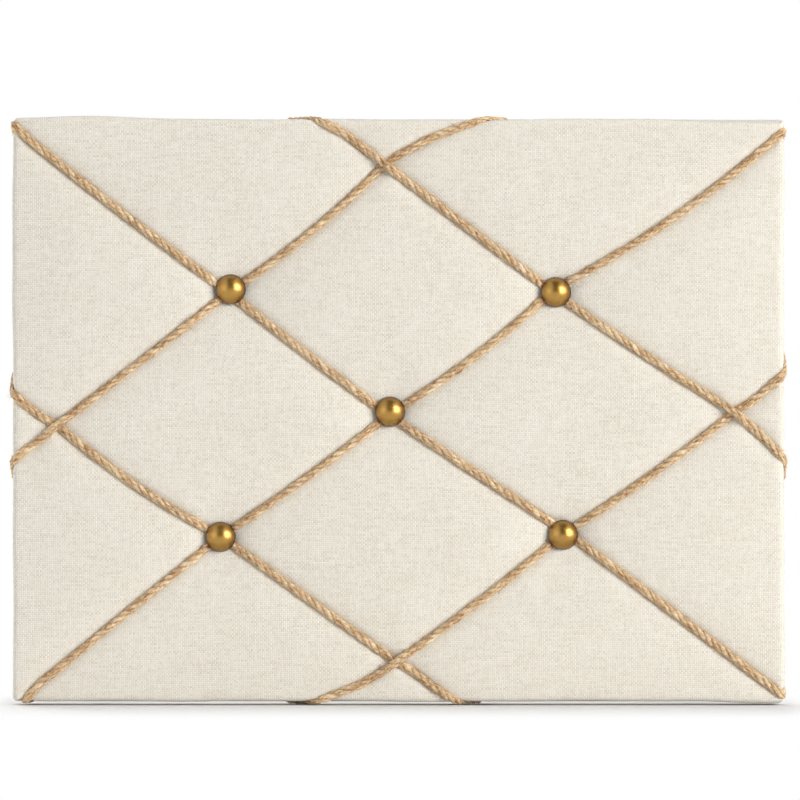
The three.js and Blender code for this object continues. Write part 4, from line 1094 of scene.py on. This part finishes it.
def make_staple(node, x, z, way, crown):
    """A staple with its crown's front face at a height, lying along a plan direction."""
    half, leg = (STAPLE_CROWN - STAPLE_WIRE) / 2, STAPLE_DEPTH - CORE_T
    top = crown - STAPLE_WIRE / 2
    flat = [(-half, leg), (-half, top + STAPLE_BEND)]
    for a in np.linspace(0, QUARTER, 6)[1:]:
        flat.append((-half + STAPLE_BEND * (1 - math.cos(a)), top + STAPLE_BEND * (1 - math.sin(a))))
    u, h = np.array(flat + [(-u, h) for u, h in reversed(flat)]).T
    way = np.array(way, float) / np.hypot(*way)
    line = at(x + way[0] * u, z + way[1] * u, h)
    wide = np.tile([-way[1], 0, way[0]], (len(line), 1))
    thick = np.cross(unit(np.gradient(line, axis=0)), wide)
    w, t, c = STAPLE_WIDTH / 2, STAPLE_WIRE / 2, STAPLE_ROUND
    upper = [(w, t - c), (w - c, t), (c - w, t), (-w, t - c)]
    section = upper + [(-a, -b) for a, b in upper]
    points, faces = sweep(line, wide, thick, section, False)
    stand_in("wire", node, points, faces, "staple_steel", smooth=False)


def make_staples():
    for side, row in COVER_STAPLES.items():
        sx, sz, _ = SIDES[side]
        for number, place in enumerate(row, 1):
            x, z = on_side(side, place, COVER_STAPLE_IN)
            make_staple(f"cover_staple_{side}_{number}", x, z, (abs(sz), abs(sx)), BACK - 0.02)
    for name, (side, _, _, turn, anchor) in ENDS.items():
        x, z = on_side(side, anchor, ANCHOR_IN)
        tx, tz = on_side(side, turn, BACK_R)
        crown = -CORE_T - 2 * TWINE_R * SQUASH_STAPLE - 0.15
        make_staple("twine_staple_" + name, x, z, (-(z - tz), x - tx), crown)


# Hangers, drawn with u up the board and v from the strap's seat to the wall

STRAP_BEND = RING_WIRE_R + RING_RUN + STRAP_T / 2
STRAP_BAR = STRAP_BEND + STRAP_T / 2
STRAP_TOP = 2 * STRAP_T + STRAP_GAP


def on_hanger(x, u, v, w):
    u, v, w = np.broadcast_arrays(np.asarray(u, float), v, w)
    return np.stack([x + w, HANGER_SEAT + v, HANGER_Z + u], axis=-1)


def make_strap(name, x):
    """A strip folded round the ring's bar, its two leaves on each other."""
    line = [(-STRAP_L, STRAP_T / 2)]
    for angle in np.radians(np.arange(-90, 136, 9)):
        line.append((STRAP_BEND * math.cos(angle), STRAP_BAR + STRAP_BEND * math.sin(angle)))
    leaf = STRAP_TOP - STRAP_T / 2
    line.append((line[-1][0] - (line[-1][1] - leaf), leaf))
    line = np.array([*line, (-STRAP_L, leaf)])
    along = unit(np.gradient(line, axis=0))
    normal = np.stack([-along[:, 1], along[:, 0]], axis=1)
    outline = np.concatenate([line + normal * STRAP_T / 2, (line - normal * STRAP_T / 2)[::-1]])
    points = np.concatenate([on_hanger(x, *outline.T, w) for w in (-STRAP_W / 2, STRAP_W / 2)])
    faces = tube_faces(2, len(outline))
    strap = stand_in("folded", "hanger_strap_" + name, points, faces, "hanger_steel", smooth=False)
    bevel = strap.modifiers.new("edges", "BEVEL")
    bevel.width, bevel.segments, bevel.limit_method, bevel.angle_limit = STRAP_ROUND * MM, 2, "ANGLE", 0.9


def make_ring(name, x):
    """A D of round wire, hanging from its straight bar."""
    half = RING_IN_W / 2 + RING_WIRE_R
    arch = RING_IN_H + 2 * RING_WIRE_R - RING_LEG
    flat = []
    for cx, cv, rx, rv, first, last, count in (
        (half - RING_CORNER, RING_CORNER, RING_CORNER, RING_CORNER, -90, 0, 9),
        (0, RING_LEG, half, arch, 0, 180, 40),
        (-half + RING_CORNER, RING_CORNER, RING_CORNER, RING_CORNER, 180, 270, 9),
    ):
        for angle in np.radians(np.linspace(first, last, count)):
            flat.append((cx + rx * math.cos(angle), cv + rv * math.sin(angle)))
    flat = np.concatenate([flat, np.linspace(flat[-1], flat[0], 12)[1:-1]])
    lean = math.radians(RING_REST)
    down = np.array([0, math.sin(lean), -math.cos(lean)])
    normal = np.array([0, math.cos(lean), math.sin(lean)])
    line = np.array([x, HANGER_SEAT + STRAP_BAR, HANGER_Z]) + flat[:, 1:] * down
    line[:, 0] += flat[:, 0]
    side = np.cross(unit(np.roll(line, -1, axis=0) - np.roll(line, 1, axis=0)), normal)
    turn = angles(18)
    wire = np.stack([RING_WIRE_R * np.cos(turn), RING_WIRE_R * np.sin(turn)], axis=1)
    points, faces = sweep(line, side, np.tile(normal, (len(line), 1)), wire, True)
    stand_in("wire", "d_ring_" + name, points, faces, "hanger_steel", body="ring_" + name)


def make_screw(name, x):
    """A round-headed screw with a cross recess and a thread that ends under the strap."""
    spokes, rings = 72, 26
    angle = angles(spokes)
    r, a = np.meshgrid(SCREW_HEAD_R * np.linspace(0.02, 1, rings), angle, indexing="ij")
    p, q = r * np.cos(a), r * np.sin(a)
    dome = SCREW_HEAD_H * np.sqrt(np.clip(1 - 0.86 * (r / SCREW_HEAD_R) ** 2.4, 0, 1))
    bar = np.minimum(np.abs(p), np.abs(q)) - 0.42 + 0.1 * r
    reach = np.maximum(np.abs(p), np.abs(q)) - 1.75
    recess = 1 / (1 + np.exp(np.maximum(bar, reach) / 0.06))
    rise = dome - recess * (1.15 - 0.3 * r / SCREW_HEAD_R)
    foot = STRAP_TOP + 0.1
    points = [on_hanger(x, -SCREW_DOWN + p, foot + rise, q).reshape(-1, 3)]

    def ring(radius, v):
        points.append(on_hanger(x, -SCREW_DOWN + radius * np.cos(angle), v, radius * np.sin(angle)))

    ring(SCREW_HEAD_R, foot)
    for step in np.linspace(0, 1, 40):
        crest = 0.5 + 0.5 * np.cos(angle - 6.5 * 2 * math.pi * step)
        ring(SCREW_R * (0.8 + 0.2 * crest) * (1 - max(0, step - 0.8) * 4.6), foot - SCREW_LONG * step)
    points = np.concatenate(points)
    faces = tube_faces(len(points) // spokes, spokes)
    stand_in("pan", "hanger_screw_" + name, points, faces, "hanger_steel")


def make_bumper(name, x, z):
    wall = -CORE_FRONT
    seat = wall + BUMPER_H + FIT - 0.05
    profile = [(0, wall)]
    for a in np.linspace(0, QUARTER, 8):
        profile.append((BUMPER_R - BUMPER_ROUND * (1 - math.sin(a)), wall + BUMPER_ROUND * (1 - math.cos(a))))
    flange = BUMPER_R + BUMPER_FLANGE
    profile += [(BUMPER_R, seat - 1.2), (flange, seat - 1.0), (flange, seat), (0, seat)]
    points, faces = turned(profile, 48, x, z)
    stand_in("soft", "bumper_" + name, points, faces, "bumper_rubber")


# Assembly

cover = make_cover()
fringe = make_fringe()
pad = make_wadding()
for name in TWINES:
    make_twine(name)
for number, (x, z) in enumerate(NAILS.values(), 1):
    make_nail(number, x, z)
make_staples()
for name, sign in (("left", -1), ("right", 1)):
    for make_part in (make_strap, make_screw, make_ring):
        make_part(name, sign * HANGER_X)
for row, up in (("top", 1), ("bottom", -1)):
    for column, across in (("left", -1), ("right", 1)):
        make_bumper(f"{row}_{column}", across * BUMPER_X, up * BUMPER_Z)
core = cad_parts["core_board"]
core.data.materials.clear()
core.data.materials.append(fibreboard_finish())


# Studio


def make_lamp(name, location, size, power, colour):
    """A lamp that faces the board's middle."""
    data = bpy.data.lights.new(name, "AREA")
    data.shape = "RECTANGLE"
    data.size, data.size_y = size
    data.energy, data.color = power, colour
    lamp = show(name, data)
    lamp.location = location
    lamp.visible_camera = False
    x, y, z = np.zeros(3) - location
    lamp.rotation_euler = (math.atan2(math.hypot(x, y), -z), 0, math.atan2(x, -y) + math.pi)
    return lamp


def make_floor():
    z = -(HALF_H + FLOOR_DROP) * MM
    mesh = bpy.data.meshes.new("floor")
    mesh.from_pydata([(-4, -4, z), (4, -4, z), (4, 0.5, z), (-4, 0.5, z)], [], [[0, 1, 2, 3]])
    mesh.materials.append(floor_finish())
    floor = show("floor", mesh)
    return floor


def make_world():
    """Camera and mirror rays see a white room, with its dim band, a painted dark reflection, for mirror rays;
    the rest see soft light.
    """
    world = bpy.data.worlds.new("studio")
    bpy.context.scene.world = world
    world.use_nodes = True
    g = Graph(world.node_tree)
    soft = g.tree.nodes["Background"]
    g.put(soft, {"Color": SOFT_COLOUR, "Strength": SOFT_LEVEL})
    mirror, seen = g.rays()
    way = g.split(g.add("TexCoord")["Generated"])
    dim = mirror
    for axis, start, end in DIM_BAND:
        part = g.math("ABSOLUTE", way[axis]) if axis == 0 else way[axis]
        dim = g.times(dim, g.span(part, start, end, interpolation_type="SMOOTHSTEP"))
    # painted dark reflection: the dim band darkens the room for mirror rays only
    room = g.mix(g.times(dim, DIM), (1, 1, 1, 1), (0, 0, 0, 1))
    white = g.add("Background", {"Color": room, "Strength": 1.0})[0]
    g.close("World Output", seen, soft.outputs[0], white)


floor = make_floor()
make_world()
lamps = {name: make_lamp(name, *facts) for name, facts in LAMPS.items()}
floor_only = bpy.data.collections.new("floor_only")
floor_only.objects.link(floor)
lamps["floor_light"].light_linking.receiver_collection = floor_only

camera = bpy.data.cameras.new("camera")
camera.lens, camera.sensor_width = 300, 36
shot = show("camera", camera)
shot.location = (0.00084, -3.5348, 0.00543)
shot.rotation_euler = (QUARTER, 0, 0)
bpy.context.scene.camera = shot
bpy.context.scene.view_settings.view_transform = "Standard"
